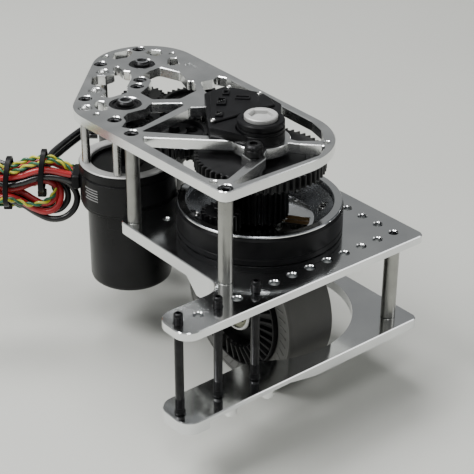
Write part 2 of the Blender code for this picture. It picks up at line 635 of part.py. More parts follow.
def bevel_ring():
    """A flat ring with radial teeth on its left face, drawn about Z and laid along X."""
    inner, outer = GEAR_R
    back, root = -12.3, 2.4
    step = 2 * math.pi / BEVEL_TEETH
    angles = [(i + share) * step for i in range(BEVEL_TEETH) for share in (-0.24, -0.12, 0.12, 0.24)]
    bm = bmesh.new()

    def row(radius, face, tip):
        return [bm.verts.new((radius * math.cos(a), radius * math.sin(a), tip if k % 4 in (1, 2) else face))
                for k, a in enumerate(angles)]
    hub = inner - 0.4
    faces = [TIP_X[0] + root, TIP_X[1] + root]
    rows = [row(hub, faces[0], faces[0]), row(inner, faces[0], TIP_X[0]), row(outer, faces[1], TIP_X[1]),
            row(outer, back, back), row(hub, back, back)]
    for a, b in zip(rows, rows[1:] + rows[:1]):
        for i in range(len(angles)):
            j = (i + 1) % len(angles)
            bm.faces.new((a[i], a[j], b[j], b[i]))
    bmesh.ops.triangulate(bm, faces=bm.faces[:])
    return finish(bm, "bevel_gear", "black_steel", location=(*AXIS, WHEEL_Z), rotation=ALONG_X, smooth=0)


def wheel():
    place = {"location": (*AXIS, WHEEL_Z), "rotation": ALONG_X}
    half = WHEEL_W / 2
    lathe("tyre", "grey_rubber",
          [(CORE_R + GAP, -half), (WHEEL_R - 1.2, -half), (WHEEL_R, -half + 1.2), (WHEEL_R, half - 1.2),
           (WHEEL_R - 1.2, half), (CORE_R + GAP, half)], 44, **place)
    lathe("wheel_core", "black_plastic",
          [(8.3, -17.5), (13.6, -17.5), (13.6, -12), (34.7, -12), (34.7, LIP_X), (CORE_R, LIP_X),
           (CORE_R, half - 0.6), (30, half - 0.6), (30, 8), (12, 8), (12, 15.5), (8.3, 15.5)], 32, **place)
    for name, x in (("left", -15.2), ("right", 10.2)):
        tube(f"wheel_bearing_{name}", "bright_steel", AXLE_R + GAP, 8.0, x, x + 5, 24, **place)
    left, right = LEG_X[0], RIGHT_LEG_X[1]
    lathe("axle", "bright_steel",
          [(0, left - 4), (6.2, left - 4), (6.2, left - GAP), (AXLE_R, left - GAP), (AXLE_R, right + GAP),
           (6.2, right + GAP), (6.2, right + 4), (0, right + 4)], 20, **place)
    bevel_ring()


def bevel_shaft():
    """The upright shaft that carries the drive down to the wheel."""
    low, high = WHEEL_Z + GEAR_R[0], WHEEL_Z + GEAR_R[1]
    shaft = lathe("bevel_pinion", "black_steel", [(0, low - 0.5), (3.2, low - 0.5), (3.2, 20.5), (0, 20.5)], 20,
                  location=(*BEVEL_SHAFT, 0))
    big = -SHAFT_OFFSET - TIP_X[1] + 0.35
    small = -SHAFT_OFFSET - TIP_X[0] + 0.35
    bm = prism_mesh(teeth_outline(BEVEL_PINION_TEETH, tip_radius=-big, tip=0.9, root=0.9), low, high)
    shrink = small / big
    for vert in bm.verts:
        if vert.co.z < (low + high) / 2:
            vert.co.x *= shrink
            vert.co.y *= shrink
    join(shaft, finish(bm, "bevel_pinion_teeth", None, location=(*BEVEL_SHAFT, 0), smooth=0))
    tube("bevel_shaft_bearing", "bright_steel", 3.5, 5.9, 1.1, 5.7, 20, location=(*BEVEL_SHAFT, 0))
    prism("transfer_gear", "black_steel", teeth_outline(TRANSFER_TEETH, tip_radius=11.3), *TRANSFER_Z,
          [circle((0, 0), 3.5, 20)], location=(*BEVEL_SHAFT, 0), smooth=0)


clear_scene()
PAINT = make_materials()
ORIGIN = bpy.data.objects.new("module_origin", None)
ORIGIN.location = (-ROW_MIDDLE * MM, 0, FLANGE_T * MM)
bpy.context.scene.collection.objects.link(ORIGIN)

PHASE = {"centre": 0.0, "azimuth": 0.0}
PHASE["idler"] = phase_for(AXIS, CENTRE_TEETH, PHASE["centre"], IDLER, IDLER_TEETH)
PHASE["motor_1"] = phase_for(IDLER, IDLER_TEETH, PHASE["idler"], MOTOR_1, PINION_TEETH)
PHASE["steer_pinion"] = phase_for(AXIS, AZIMUTH_TEETH, PHASE["azimuth"], STEER_SHAFT, STEER_PINION_TEETH)
PHASE["steer_gear"] = 0.0
PHASE["steer_idler"] = phase_for(STEER_SHAFT, STEER_GEAR_TEETH, 0.0, STEER_IDLER, STEER_IDLER_TEETH)
PHASE["motor_2"] = phase_for(STEER_IDLER, STEER_IDLER_TEETH, PHASE["steer_idler"], MOTOR_2, PINION_TEETH)

middle_plate()
lower_plate()
upper_plate()
posts_and_fasteners()
motor(1, MOTOR_1, MOTOR_1_POSTS, UPPER_GEAR_Z)
motor(2, MOTOR_2, MOTOR_2_POSTS, LOWER_GEAR_Z)
frame_gears()
encoder()
leads()
azimuth_ring()
turntable()
fork_leg("left_fork_leg", *LEG_X, True)
fork_leg("right_fork_leg", *RIGHT_LEG_X, False)
wheel()
bevel_shaft()
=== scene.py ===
"""The looks of a steerable driven wheel module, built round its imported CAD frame.

Places are in millimetres from the first hole of the middle plate's front row, on that plate's top face:
X runs along that row, Y runs back and Z is up. Every piece is drawn there and carried into the frame.
"""
from math import atan2, cos, hypot, pi, radians, sin, tan

import bmesh
import bpy
from mathutils import Matrix, Vector

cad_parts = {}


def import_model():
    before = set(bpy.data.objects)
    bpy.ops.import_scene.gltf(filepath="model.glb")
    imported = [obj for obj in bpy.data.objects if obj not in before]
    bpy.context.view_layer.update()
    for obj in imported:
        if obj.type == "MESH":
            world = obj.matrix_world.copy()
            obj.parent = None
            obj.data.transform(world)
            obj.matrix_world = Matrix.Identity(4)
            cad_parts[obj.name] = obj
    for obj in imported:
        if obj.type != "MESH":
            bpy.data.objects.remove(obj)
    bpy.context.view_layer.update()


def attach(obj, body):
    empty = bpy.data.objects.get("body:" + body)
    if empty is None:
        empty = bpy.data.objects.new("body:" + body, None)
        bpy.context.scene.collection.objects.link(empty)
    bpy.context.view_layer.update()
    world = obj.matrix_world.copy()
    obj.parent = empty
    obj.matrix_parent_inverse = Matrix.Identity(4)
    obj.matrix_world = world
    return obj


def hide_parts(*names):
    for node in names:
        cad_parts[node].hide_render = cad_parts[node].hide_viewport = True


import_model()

MM = 0.001
PITCH = 12.7
FLANGE_T = 4.7625
HOME = Vector((-6.5 * PITCH, 0.0, FLANGE_T))     # the first hole's place in the frame

# Plates.
TOP_Z = 55.5625
TOP_T = 6.35
UNDER_Z = TOP_Z - TOP_T        # the upper plate's underside
LOWER_Z = -55.5625
BODY_T = 7.5
SHOULDER_T = 16.5
LEFT_X = 39.3
RIGHT_X = 13 * PITCH
FRONT_Y = -PITCH
EDGE = 0.45                    # the plates' chamfer

# Axes seen from above.
AXIS = (98.425, 53.975)
MOTOR_1 = (66.773, 139.085)
MOTOR_2 = (111.0, 184.5)
DRIVE_IDLER = (78.504, 107.541)
STEER_IDLER = (130.975, 154.316)
STEER_SHAFT = (105.452, 112.610)
BEVEL_SHAFT = (70.225, 53.975)
WHEEL_Z = -49.07
HUB = (*AXIS, WHEEL_Z)

# Gears.
MODULE = 1.27
UPPER_GEAR_Z = (38.0, 46.0)
LOWER_GEAR_Z = (28.0, 35.0)
AZIMUTH_GEAR_Z = (-11.6, -8.0)

# Motors.
MOTOR_TOP_Z = 21.0
MOTOR_SPLIT_Z = -7.5
HOUSING_R = 29.0
CAN_R = 25.0

# Turntable and wheel.
RING_R = 47.5
RING_TOP_Z = 18.0
WHEEL_R = 47.6

# Directions seen from above: left along the leads, and back from the viewer.
LEADS_TURN = radians(50.8)
LEFT = Vector((-sin(LEADS_TURN), cos(LEADS_TURN), 0))
BACK = Vector((cos(LEADS_TURN), sin(LEADS_TURN), 0))

ALONG_X = Matrix.Rotation(pi / 2, 3, "Y")                      # turns a lathe's Z to X
UPRIGHT = Matrix.Rotation(pi / 2, 3, "X")                      # stands an outline up
ALONG_LEADS = Matrix.Rotation(LEADS_TURN + pi / 2, 3, "Z")     # turns X to the left along the leads


# ---- materials ----

def surface(dark, light, rough, metal, patch, grain, bump, stretch=(1, 1, 1), depth=0.03, coat=0.0, gleam=0.5):
    """A finish whose colour and gloss drift over patches, with a fine grain pressed into it."""
    material = bpy.data.materials.new("finish")
    material.use_nodes = True
    nodes, links = material.node_tree.nodes, material.node_tree.links

    def node(kind, values, wires):
        made = nodes["Principled BSDF"] if kind == "shader" else nodes.new("ShaderNode" + kind)
        for socket, value in values.items():
            made.inputs[socket].default_value = value
        for socket, source in wires.items():
            links.new(source, made.inputs[socket])
        return made

    place = node("TexCoord", {}, {}).outputs["Object"]

    def cloud(scale, stretched, detail):
        mapping = node("Mapping", {"Scale": stretched}, {"Vector": place})
        return node("TexNoise", {"Scale": scale, "Detail": detail}, {"Vector": mapping.outputs[0]}).outputs[0]

    patches = cloud(patch, (1, 1, 1), 4)
    ramp = node("ValToRGB", {}, {"Fac": patches})
    for stop, at, colour in zip(ramp.color_ramp.elements, (0.32, 0.68), (dark, light)):
        stop.position = at
        stop.color = (*colour, 1.0)
    fine = cloud(grain, stretch, 3)
    mixed = node("Math", {}, {0: patches, 1: fine})
    mixed.operation = "ADD"
    gloss = node("MapRange", {"From Min": 0.7, "From Max": 1.3, "To Min": rough[0], "To Max": rough[1]},
                 {"Value": mixed.outputs[0]})
    relief = node("Bump", {"Strength": bump, "Distance": depth * MM}, {"Height": fine})
    node("shader",
         {"Metallic": metal, "Specular IOR Level": gleam, "Coat Weight": coat, "Coat Roughness": 0.12},
         {"Base Color": ramp.outputs["Color"], "Roughness": gloss.outputs[0], "Normal": relief.outputs[0]})
    return material


PAINT = {
    "plate": surface((0.80, 0.81, 0.81), (0.88, 0.885, 0.88), (0.16, 0.27), 1.0, 60, 700, 0.16, (1, 14, 1)),
    "mirror": surface((0.74, 0.75, 0.76), (0.84, 0.85, 0.85), (0.08, 0.17), 1.0, 35, 500, 0.05, (1, 9, 1)),
    "turned": surface((0.60, 0.60, 0.595), (0.70, 0.70, 0.69), (0.22, 0.36), 1.0, 80, 900, 0.2, (1, 1, 12)),
    "post": surface((0.27, 0.27, 0.255), (0.36, 0.36, 0.34), (0.26, 0.38), 1.0, 80, 900, 0.2, (1, 1, 12)),
    # A darker copy of the mirror aluminium: painted shade on the walls of the drilled holes and on the turntable's
    # sloped bowl wall.
    "painted_shade_metal": surface((0.22, 0.23, 0.25), (0.34, 0.35, 0.36), (0.22, 0.32), 1.0, 30, 400, 0.08, (1, 1, 6)),
    "satin": surface((0.50, 0.50, 0.49), (0.58, 0.58, 0.57), (0.46, 0.58), 0.6, 80, 1400, 0.15),
    "anodised": surface((0.004, 0.004, 0.0045), (0.009, 0.009, 0.01), (0.32, 0.44), 0.1, 90, 2600, 0.14, gleam=0.13),
    "motor": surface((0.005, 0.005, 0.0055), (0.01, 0.01, 0.011), (0.26, 0.38), 0.0, 60, 3000, 0.1, gleam=0.2),
    "grey": surface((0.17, 0.175, 0.18), (0.23, 0.235, 0.24), (0.36, 0.5), 0.7, 120, 2500, 0.2),
    "gear": surface((0.006, 0.006, 0.0065), (0.016, 0.016, 0.017), (0.28, 0.44), 0.4, 150, 2400, 0.22, gleam=0.3),
    "screw": surface((0.008, 0.008, 0.009), (0.02, 0.02, 0.021), (0.28, 0.44), 0.7, 250, 3000, 0.2),
    "steel": surface((0.42, 0.42, 0.41), (0.60, 0.60, 0.59), (0.18, 0.32), 1.0, 160, 1500, 0.12),
    # A tan colour for the painted reflection on the back wall of the turntable's front window.
    "painted_reflection_tan": surface((0.22, 0.13, 0.06), (0.34, 0.21, 0.10), (0.34, 0.5), 0.8, 90, 900, 0.2),
    "olive": surface((0.20, 0.20, 0.15), (0.30, 0.30, 0.23), (0.24, 0.36), 0.9, 160, 1500, 0.1),
    "tread": surface((0.05, 0.049, 0.046), (0.072, 0.071, 0.067), (0.5, 0.66), 0.0, 40, 2200, 0.35, depth=0.05),
    "sidewall": surface((0.115, 0.115, 0.11), (0.15, 0.15, 0.144), (0.46, 0.6), 0.0, 60, 2200, 0.3),
    "plastic": surface((0.004, 0.004, 0.0045), (0.01, 0.01, 0.011), (0.3, 0.46), 0.0, 90, 3200, 0.15, gleam=0.12),
    "print": surface((0.20, 0.20, 0.20), (0.30, 0.30, 0.30), (0.5, 0.6), 0.0, 200, 3000, 0.1),
    "red": surface((0.34, 0.012, 0.016), (0.50, 0.024, 0.028), (0.26, 0.38), 0.0, 90, 1800, 0.12, coat=0.35),
    "black": surface((0.004, 0.004, 0.0045), (0.009, 0.009, 0.01), (0.24, 0.36), 0.0, 90, 1800, 0.12, coat=0.3),
    "yellow": surface((0.52, 0.50, 0.03), (0.66, 0.62, 0.07), (0.3, 0.4), 0.0, 90, 1800, 0.1, coat=0.2),
    "green": surface((0.015, 0.10, 0.045), (0.03, 0.16, 0.08), (0.3, 0.4), 0.0, 90, 1800, 0.1, coat=0.2),
    "floor": surface((0.58, 0.585, 0.545), (0.62, 0.625, 0.585), (0.55, 0.7), 0.0, 1.2, 500, 0.02),
}
for paint_name, paint in PAINT.items():
    paint.name = paint_name


# ---- plane figures ----

def circle(centre, radius, count, start=0.0):
    turn = 2 * pi / count
    return [(centre[0] + radius * cos(start + turn * i), centre[1] + radius * sin(start + turn * i))
            for i in range(count)]


def disc(radius, count, start=0.0):
    """A circle about the origin."""
    return circle((0, 0), radius, count, start)


def polar(centre, radius, angle):
    return (centre[0] + radius * cos(angle), centre[1] + radius * sin(angle))


def arc(centre, radius, start, end, steps):
    """Places on a circle, between two headings in degrees."""
    return [polar(centre, radius, radians(start + (end - start) * k / steps)) for k in range(steps + 1)]


def sharp(points):
    """Points as corners that `rounded` keeps."""
    return [(*point, 0) for point in points]


def rounded(corners, steps=8):
    """A polygon whose corners (x, y, radius) are turned into arcs. A radius of 0 keeps the corner."""
    points = []
    count = len(corners)
    for i, (x, y, radius) in enumerate(corners):
        if not radius:
            points.append((x, y))
            continue
        here = Vector((x, y))
        before = (Vector(corners[i - 1][:2]) - here).normalized()
        after = (Vector(corners[(i + 1) % count][:2]) - here).normalized()
        half = before.angle(after) / 2
        centre = here + (before + after).normalized() * radius / sin(half)
        first = here + before * radius / tan(half) - centre
        last = here + after * radius / tan(half) - centre
        sweep = first.angle_signed(last)
        for k in range(steps + 1):
            arm = Matrix.Rotation(-sweep * k / steps, 2) @ first
            points.append(tuple(centre + arm))
    return points


def box(x0, y0, x1, y1, radius=0, steps=4):
    """A rectangle between two opposite corners, all four rounded alike."""
    return rounded([(x0, y0, radius), (x1, y0, radius), (x1, y1, radius), (x0, y1, radius)], steps)


def hull(points):
    """The convex outline round a set of points, counter-clockwise."""
    points = sorted(set(points))

    def chain(run):
        line = []
        for p in run:
            while len(line) > 1 and ((line[-1][0] - line[-2][0]) * (p[1] - line[-2][1])
                                     <= (line[-1][1] - line[-2][1]) * (p[0] - line[-2][0])):
                line.pop()
            line.append(p)
        return line[:-1]
    return chain(points) + chain(points[::-1])


def offset(ring, inward):
    """The ring moved inwards by a distance, or outwards if that is negative."""
    if not inward:
        return ring
    count = len(ring)
    area = sum(ring[i - 1][0] * ring[i][1] - ring[i][0] * ring[i - 1][1] for i in range(count))
    turn = 1 if area > 0 else -1
    moved_ring = []
    for i, point in enumerate(ring):
        here = Vector(point)
        before = (here - Vector(ring[i - 1])).normalized()
        after = (Vector(ring[(i + 1) % count]) - here).normalized()
        side = (Vector((-before.y, before.x)) + Vector((-after.y, after.x))) * turn
        moved_ring.append(tuple(here + side * inward / max(0.4, (side.length_squared / 2))))
    return moved_ring


def teeth_outline(teeth, phase=0.0, tip=0.8, root=1.05, tip_radius=None):
    """A spur gear's outline with curved flanks. The phase is in tooth pitches."""
    tip_r = tip_radius or teeth * MODULE / 2 + tip * MODULE
    depth = (tip + root) * MODULE
    step = 2 * pi / teeth
    flank = ((1.0, 0.300), (0.82, 0.262), (0.55, 0.225), (0.25, 0.160), (0.05, 0.118), (0.0, 0.095))
    points = []
    for i in range(teeth):
        middle = (i + phase) * step
        for side, run in ((-1, flank), (1, flank[::-1])):
            points += [polar((0, 0), tip_r - depth * down, middle + side * share * step) for down, share in run]
    return points


# ---- meshes ----

def join_rings(bm, rings, material=0):
    """Faces between each ring of vertices and the next."""
    for a, b in zip(rings, rings[1:]):
        for i in range(len(a)):
            j = (i + 1) % len(a)
            corner = list(dict.fromkeys((a[i], a[j], b[j], b[i])))
            if len(corner) > 2:
                bm.faces.new(corner).material_index = material


def slab(outline, z0, z1, holes=(), edge=EDGE):
    """An outline with holes, drawn up from z0 to z1, with all its rims chamfered."""
    bm = bmesh.new()
    levels = [(z0, edge), (z0 + edge, 0), (z1 - edge, 0), (z1, edge)] if edge else [(z0, 0), (z1, 0)]
    low, high = [], []
    for ring, side in [(outline, 1), *[(hole, -1) for hole in holes]]:
        stack = [[bm.verts.new((x, y, z)) for x, y in offset(ring, inward * side)] for z, inward in levels]
        join_rings(bm, stack)
        low += [bm.edges.get((stack[0][i - 1], stack[0][i])) for i in range(len(ring))]
        high += [bm.edges.get((stack[-1][i - 1], stack[-1][i])) for i in range(len(ring))]
    for rim in (low, high):
        bmesh.ops.triangle_fill(bm, use_beauty=True, use_dissolve=False, edges=rim)
    return bm


def lathe(profile, count):
    """A closed outline of (radius, height) points turned about Z. Points on the axis become poles."""
    bm = bmesh.new()
    rings = []
    for radius, height in profile:
        if radius:
            rings.append([bm.verts.new((x, y, height)) for x, y in disc(radius, count)])
        else:
            rings.append([bm.verts.new((0, 0, height))] * count)
    join_rings(bm, rings + rings[:1])
    return bm


def rod(radius, z0, z1, chamfer, count=40):
    return lathe([(0, z0), (radius - chamfer, z0), (radius, z0 + chamfer), (radius, z1 - chamfer),
                       (radius - chamfer, z1), (0, z1)], count)


def moved(bm, place=(0, 0), turn=None):
    """The mesh turned about the origin, then moved to a place given with or without its height."""
    if turn:
        bmesh.ops.rotate(bm, cent=(0, 0, 0), matrix=turn, verts=bm.verts)
    bmesh.ops.translate(bm, vec=Vector(place).to_3d(), verts=bm.verts)
    return bm


def together(meshes):
    """Several bmeshes as one."""
    whole = bmesh.new()
    for bm in meshes:
        mesh = bpy.data.meshes.new("part")
        bm.to_mesh(mesh)
        bm.free()
        whole.from_mesh(mesh)
        bpy.data.meshes.remove(mesh)
    return whole


def linked(name, data):
    obj = bpy.data.objects.new(name, data)
    bpy.context.scene.collection.objects.link(obj)
    return obj


def mesh_object(name, bm):
    bmesh.ops.recalc_face_normals(bm, faces=bm.faces)
    bmesh.ops.translate(bm, vec=HOME, verts=bm.verts)
    bmesh.ops.scale(bm, vec=(MM, MM, MM), verts=bm.verts)
    mesh = bpy.data.meshes.new(name)
    bm.to_mesh(mesh)
    bm.free()
    return linked(name, mesh)


def dressed(obj, body, paint, replaces=()):
    """The piece painted and set to ride on a body, with the CAD parts that it replaces hidden."""
    obj.data.materials.append(PAINT[paint])
    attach(obj, body)
    if replaces:
        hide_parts(*replaces)
    return obj


def piece(name, body, paint, bm, place=(0, 0), turn=None, smooth=38, bevel=0.0, replaces=(), cuts=()):
    """One visible piece: its mesh is placed, cut, rounded and dressed."""
    obj = mesh_object(name, moved(bm, place, turn))
    for i, tool_bm in enumerate(cuts):
        tool = mesh_object(f"{name}_cut_{i}", tool_bm)
        modifier = obj.modifiers.new("cut", "BOOLEAN")
        modifier.object = tool
        modifier.solver = "MANIFOLD"
        evaluated = obj.evaluated_get(bpy.context.evaluated_depsgraph_get())
        obj.data = bpy.data.meshes.new_from_object(evaluated)
        obj.modifiers.clear()
        bpy.data.objects.remove(tool)
    obj.data.shade_smooth()
    obj.data.set_sharp_from_angle(angle=radians(smooth))
    if bevel:
        modifier = obj.modifiers.new("bevel", "BEVEL")
        modifier.width = bevel * MM
        modifier.segments = 2
        modifier.limit_method = "ANGLE"
        modifier.angle_limit = radians(40)
        modifier.harden_normals = True
    obj.data.materials.clear()
    return dressed(obj, body, paint, replaces)


def second_finish(obj, paint, chosen):
    """The faces that the test picks, by normal and place in millimetres, take another finish."""
    obj.data.materials.append(PAINT[paint])
    for face in obj.data.polygons:
        if chosen(face.normal, face.center / MM - HOME):
            face.material_index = 1


def socket_screw(place, top, radius=4.0, height=4.0, socket=2.4):
    """A cap screw's head with a hexagonal socket."""
    head = slab(disc(radius, 32), top - height, top, [disc(socket, 6)], 0.3)
    floor = slab(disc(socket + 0.2, 6), top - height + 0.2, top - 2.0, edge=0)
    return moved(together([head, floor]), place)


# ---- camera ----

CAMERA_PLACE = (-0.412985, -0.451391, 0.36312)
CAMERA_AZIMUTH = 39.211        # from +Y towards +X
CAMERA_DOWN = 28.920
CAMERA_ROLL = -0.293
CAMERA_LENS = 99.9


def add_camera():
    azimuth, down, roll = (radians(a) for a in (CAMERA_AZIMUTH, CAMERA_DOWN, CAMERA_ROLL))
    forward = Vector((sin(azimuth) * cos(down), cos(azimuth) * cos(down), -sin(down)))
    level = Vector((cos(azimuth), -sin(azimuth), 0))
    upright = level.cross(forward)
    right = level * cos(roll) - upright * sin(roll)
    data = bpy.data.cameras.new("camera")
    data.lens = CAMERA_LENS
    data.clip_start = 0.02
    data.clip_end = 30
    camera = linked("camera", data)
    turn = Matrix((right, right.cross(forward), -forward)).transposed()
    camera.matrix_world = Matrix.Translation(CAMERA_PLACE) @ turn.to_4x4()
    bpy.context.scene.camera = camera


# ---- leads ----

LEAD_D = 4.0
PAIR_D = 3.4
PAIR_PITCH = 11.0
HANK_END = 88.3                # where the leads meet the connector


def beside_motor(along, height, depth=0.0):
    """A place from the drive motor's side: along the leads, up, and away from the viewer."""
    return Vector((*MOTOR_1, height)) + LEFT * (HOUSING_R + along) + BACK * depth


def smooth_line(points, step=1.5):
    """Points about a step apart on a smooth curve through the given ones."""
    points = [2 * points[0] - points[1], *points, 2 * points[-1] - points[-2]]
    curve = []
    for a, b, c, d in zip(points, points[1:], points[2:], points[3:]):
        count = max(2, round((c - b).length / step))
        for k in range(count):
            t = k / count
            curve.append(((2 * b) + (c - a) * t + (2 * a - 5 * b + 4 * c - d) * t * t
                          + (3 * b - a - 3 * c + d) * t ** 3) / 2)
    curve.append(points[-2])
    return curve


def world(place):
    return (place + HOME) * MM


def cord_curve(name, paint, line, diameter):
    curve = bpy.data.curves.new(name, "CURVE")
    curve.dimensions = "3D"
    curve.bevel_depth = diameter / 2 * MM
    curve.bevel_resolution = 5
    curve.use_fill_caps = True
    spline = curve.splines.new("POLY")
    spline.points.add(len(line) - 1)
    for point, place in zip(spline.points, line):
        point.co = (*world(place), 1)
    return dressed(linked(name, curve), "frame", paint)


def frames_along(line):
    """A side and an up direction at each point, carried along without twisting."""
    side = (line[1] - line[0]).orthogonal().normalized()
    made = []
    for i in range(len(line)):
        ahead = (line[min(i + 1, len(line) - 1)] - line[max(i - 1, 0)]).normalized()
        side = (side - ahead * side.dot(ahead)).normalized()
        made.append((side, ahead.cross(side)))
    return made


def twisted_pair(name, line, diameter, pitch):
    """Two strands wound round each other, one yellow and one green, as one piece."""
    strand_r = diameter / 4
    sections = 12
    bm = bmesh.new()
    frames = frames_along(line)
    for strand in (0, 1):
        travelled = 0.0
        rings = []
        for i, place in enumerate(line):
            if i:
                travelled += (place - line[i - 1]).length
            side, up = frames[i]
            turn = 2 * pi * travelled / pitch + pi * strand
            middle = place + (side * cos(turn) + up * sin(turn)) * strand_r
            rings.append([bm.verts.new(middle + (side * cos(a) + up * sin(a)) * strand_r)
                          for a in (2 * pi * k / sections for k in range(sections))])
        join_rings(bm, rings, strand)
        for ring in (rings[0][::-1], rings[-1]):
            bm.faces.new(ring).material_index = strand
    obj = dressed(mesh_object(name, bm), "frame", "yellow")
    obj.data.materials.append(PAINT["green"])
    obj.data.shade_smooth()
    return obj


# Each lead runs left along the top, turns back, returns along the bottom, turns again and runs left to the
# connector. A point is (along, height, depth).
LEAD_ROUTES = {
    "red_1": (
        (4.5, 10.4, 2.5), (10, 13, 2.5), (18, 16.3, 2.3), (26, 16.2, 2), (34, 13.6, 1), (43, 11.6, 0),
        (52, 12.8, -2), (61, 13.6, -4.5), (69, 11, -6), (73.6, 4.5, -6.4), (72, -3, -6.4), (65, -7.2, -6.2),
        (57, -6.6, -6), (50, -4.2, -5.8), (43, -3, -5.6), (36, -6, -5), (29, -11, -4.4), (21.5, -14.2, -3.6),
        (15.3, -12.6, -1.6), (12.6, -7.6, 1.8), (13.4, -2.4, 5.2), (18, 1, 7.4), (26, 2.8, 7.4), (34, 3.2, 6.4),
        (43, 3, 5), (53, 3.5, 6.5), (64, 5.2, 7.6), (76, 5.0, 6), (HANK_END, 4.5, 2)),
    "red_2": (
        (4.5, 10.4, -3), (10, 12, -3.6), (18, 14.2, -4.4), (26, 13.6, -5), (34, 10.8, -5), (43, 8.8, -4.2),
        (52, 9.4, -6.5), (60, 10.8, -9.4), (67.5, 9.6, -10.6), (72, 4.4, -10.8), (71, -2, -10.8), (65, -6.0, -10.2),
        (57, -5.8, -7.5), (50, -3.2, -2), (43, -2.4, 1), (36, -3, 0.5), (29, -6.8, -1), (23, -9.6, -1.6),
        (17.6, -8.6, 0), (15.2, -4, 3), (17.4, 0.6, 5), (23, 2.6, 4.6), (29, 2.2, 2.4), (36, 1, -1.4),
        (43, 0.4, -3), (52, 1, 2), (61, 1.6, 7), (70, 1.2, 8.4), (79, 0.4, 5.6), (HANK_END, 0.2, 2)),
    "black_1": (
        (4.5, 6.2, -3), (10, 8.4, -3.6), (18, 9.8, -4), (26, 9, -5), (34, 6.4, -6), (43, 4.8, -5.6),
        (52, 7.4, -4.6), (60, 9.8, -2.4), (68, 8.4, -1.6), (73.4, 3, -1.5), (72.6, -4.2, -1.5), (66.5, -9, -1.8),
        (58, -9.4, -2.4), (50, -7.4, -2.6), (43, -7, -2.4), (35, -10.2, -2.4), (27, -15.8, -2.6), (19, -19.6, -2.6),
        (11, -19.2, -1.6), (4.8, -14.6, 0.6), (2.8, -7.6, 3.4), (6.4, -1, 6), (14, 3.4, 6), (23, 5.2, 4),
        (33, 5.2, 1), (43, 4.2, -1), (53, 4.4, 3.4), (63, 5, 11.6), (75, 4, 9), (HANK_END, 4.4, -2.4)),
    "black_2": (
        (4.5, 6.2, 2.5), (10, 8.2, 2.4), (18, 10, 1.8), (26, 9.8, 1.4), (34, 8.4, 1), (43, 7.6, 0.8), (52, 8.6, 2),
        (60, 9.8, 3), (67.6, 8.2, 3.2), (72, 2.8, 3.2), (71, -4, 3.2), (65, -7.8, 3), (57, -7.8, 2.8),
        (50, -6.4, 2.6), (43, -6.4, 2.2), (35, -8.8, 2), (27, -13, 1.6), (20, -16, 1.6), (13.4, -15.4, 2.6),
        (9, -10.6, 5), (9.6, -4.4, 7.6), (15, 0, 9.8), (23, 1.4, 11), (33, 2.6, 10.2), (43, 4.4, 9), (53, 1.6, 11),
        (63, 0.6, 12), (75, 0.2, 8), (HANK_END, 0.2, -2.4)),
}
PAIR_ROUTES = {
    "pair_1": (
        (4.5, 11.2, 6.5), (10, 14.6, 4.6), (16, 19.4, 1.6), (22, 20.8, -0.6), (30, 19.4, -0.6), (37, 16.8, -2),
        (43, 15.2, -2.6), (52, 17.2, -3.6), (61, 17.8, -4), (70, 15.2, -4.2), (76.8, 8, -4.2), (77.4, -1.6, -4.2),
        (72, -9.4, -4.2), (63, -11.6, -5), (54, -8.6, -8.4), (45, -3.4, -9), (38, -4.6, -8.2), (31, -7.6, -7),
        (24, -7.6, -5.4), (18, -5.6, -2), (16, -2.2, 2.4), (20, 0.4, 7), (27, -0.8, 8), (35, -1.8, 7),
        (43, -1.8, 5), (53, -3, 8), (64, -3, 8.6), (76, -2.4, 5), (HANK_END, -3, 1.4)),
    "pair_2": (
        (4.5, 11.4, -0.6), (9.5, 16.6, -1.6), (16, 19.6, -2.8), (22, 18.6, -4), (29, 17.4, -4.4), (36, 14.4, -5.6),
        (43, 13.2, -5.2), (52, 15, -1), (61, 16.4, 0.6), (70, 14, 0.8), (76.2, 7, 0.8), (76.8, -2, 0.8),
        (71, -9.8, 0.8), (62, -12.6, 0.6), (53, -11.4, 0), (45, -10.6, -0.4), (37, -12.4, 0.6), (30, -15.6, 3),
        (23, -16.6, 6.2), (16, -13, 9), (14, -7, 10.8), (18, -2.6, 12.4), (26, -1.2, 12.6), (35, -1, 11.6),
        (43, -0.6, 9.4), (53, -3, 11.8), (64, -3, 12.4), (76, -2.6, 8), (HANK_END, -3, -2)),
}
TIES = ((22.0, 11.2, 13.0, 9.8, -0.4), (43.4, 4.0, 14.8, 11.6, 0.4))     # as cable_tie takes them


def cable_tie(index, along, height, half_height, half_depth, depth):
    """A strap round the bundle, with its head and cut tail."""
    count, width, thick = 48, 3.4, 1.2
    bm = bmesh.new()
    rings = []
    for i in range(count):
        angle = 2 * pi * i / count
        lean = 1.4 * sin(angle)
        around = []
        for out, across in ((0, -width / 2), (thick, -width / 2 + 0.3), (thick, width / 2 - 0.3), (0, width / 2)):
            around.append(bm.verts.new(beside_motor(along + across - lean,
                                                    height + (half_height + out) * sin(angle),
                                                    depth + (half_depth + out) * cos(angle))))
        rings.append(around)
    join_rings(bm, rings + rings[:1])
    head = moved(slab(box(-2.6, -2.2, 2.6, 2.2, 0.6), -0.8, 3.2, edge=0.4), turn=Matrix.Rotation(pi, 3, "X"))
    head = moved(head, beside_motor(along + 1.2, height - half_height, depth), ALONG_LEADS)
    return piece(f"cable_tie_{index}", "frame", "plastic", together([bm, head]), smooth=50, bevel=0.2)


def connector():
    """The flat housing that the leads end in, with ribs for grip and a latch."""
    layers = [(box(0.3, -5.8, 16.6, 7.2, 1, 5), 7.6, 0.7), (box(8.5, 7.0, 15.8, 7.9, 0.4, 3), 3.4, 0.2)]
    layers += [(box(x - 0.55, -6.0, x + 0.55, 7.6, 0.4), 7.9, 0.3) for x in (3.0, 5.2, 7.4, 9.6)]
    shells = [moved(slab(outline, -half, half, edge=edge), turn=UPRIGHT) for outline, half, edge in layers]
    return piece("connector", "frame", "plastic", together(shells), beside_motor(88.0, 0), ALONG_LEADS,
                 replaces=["lead_connector"])


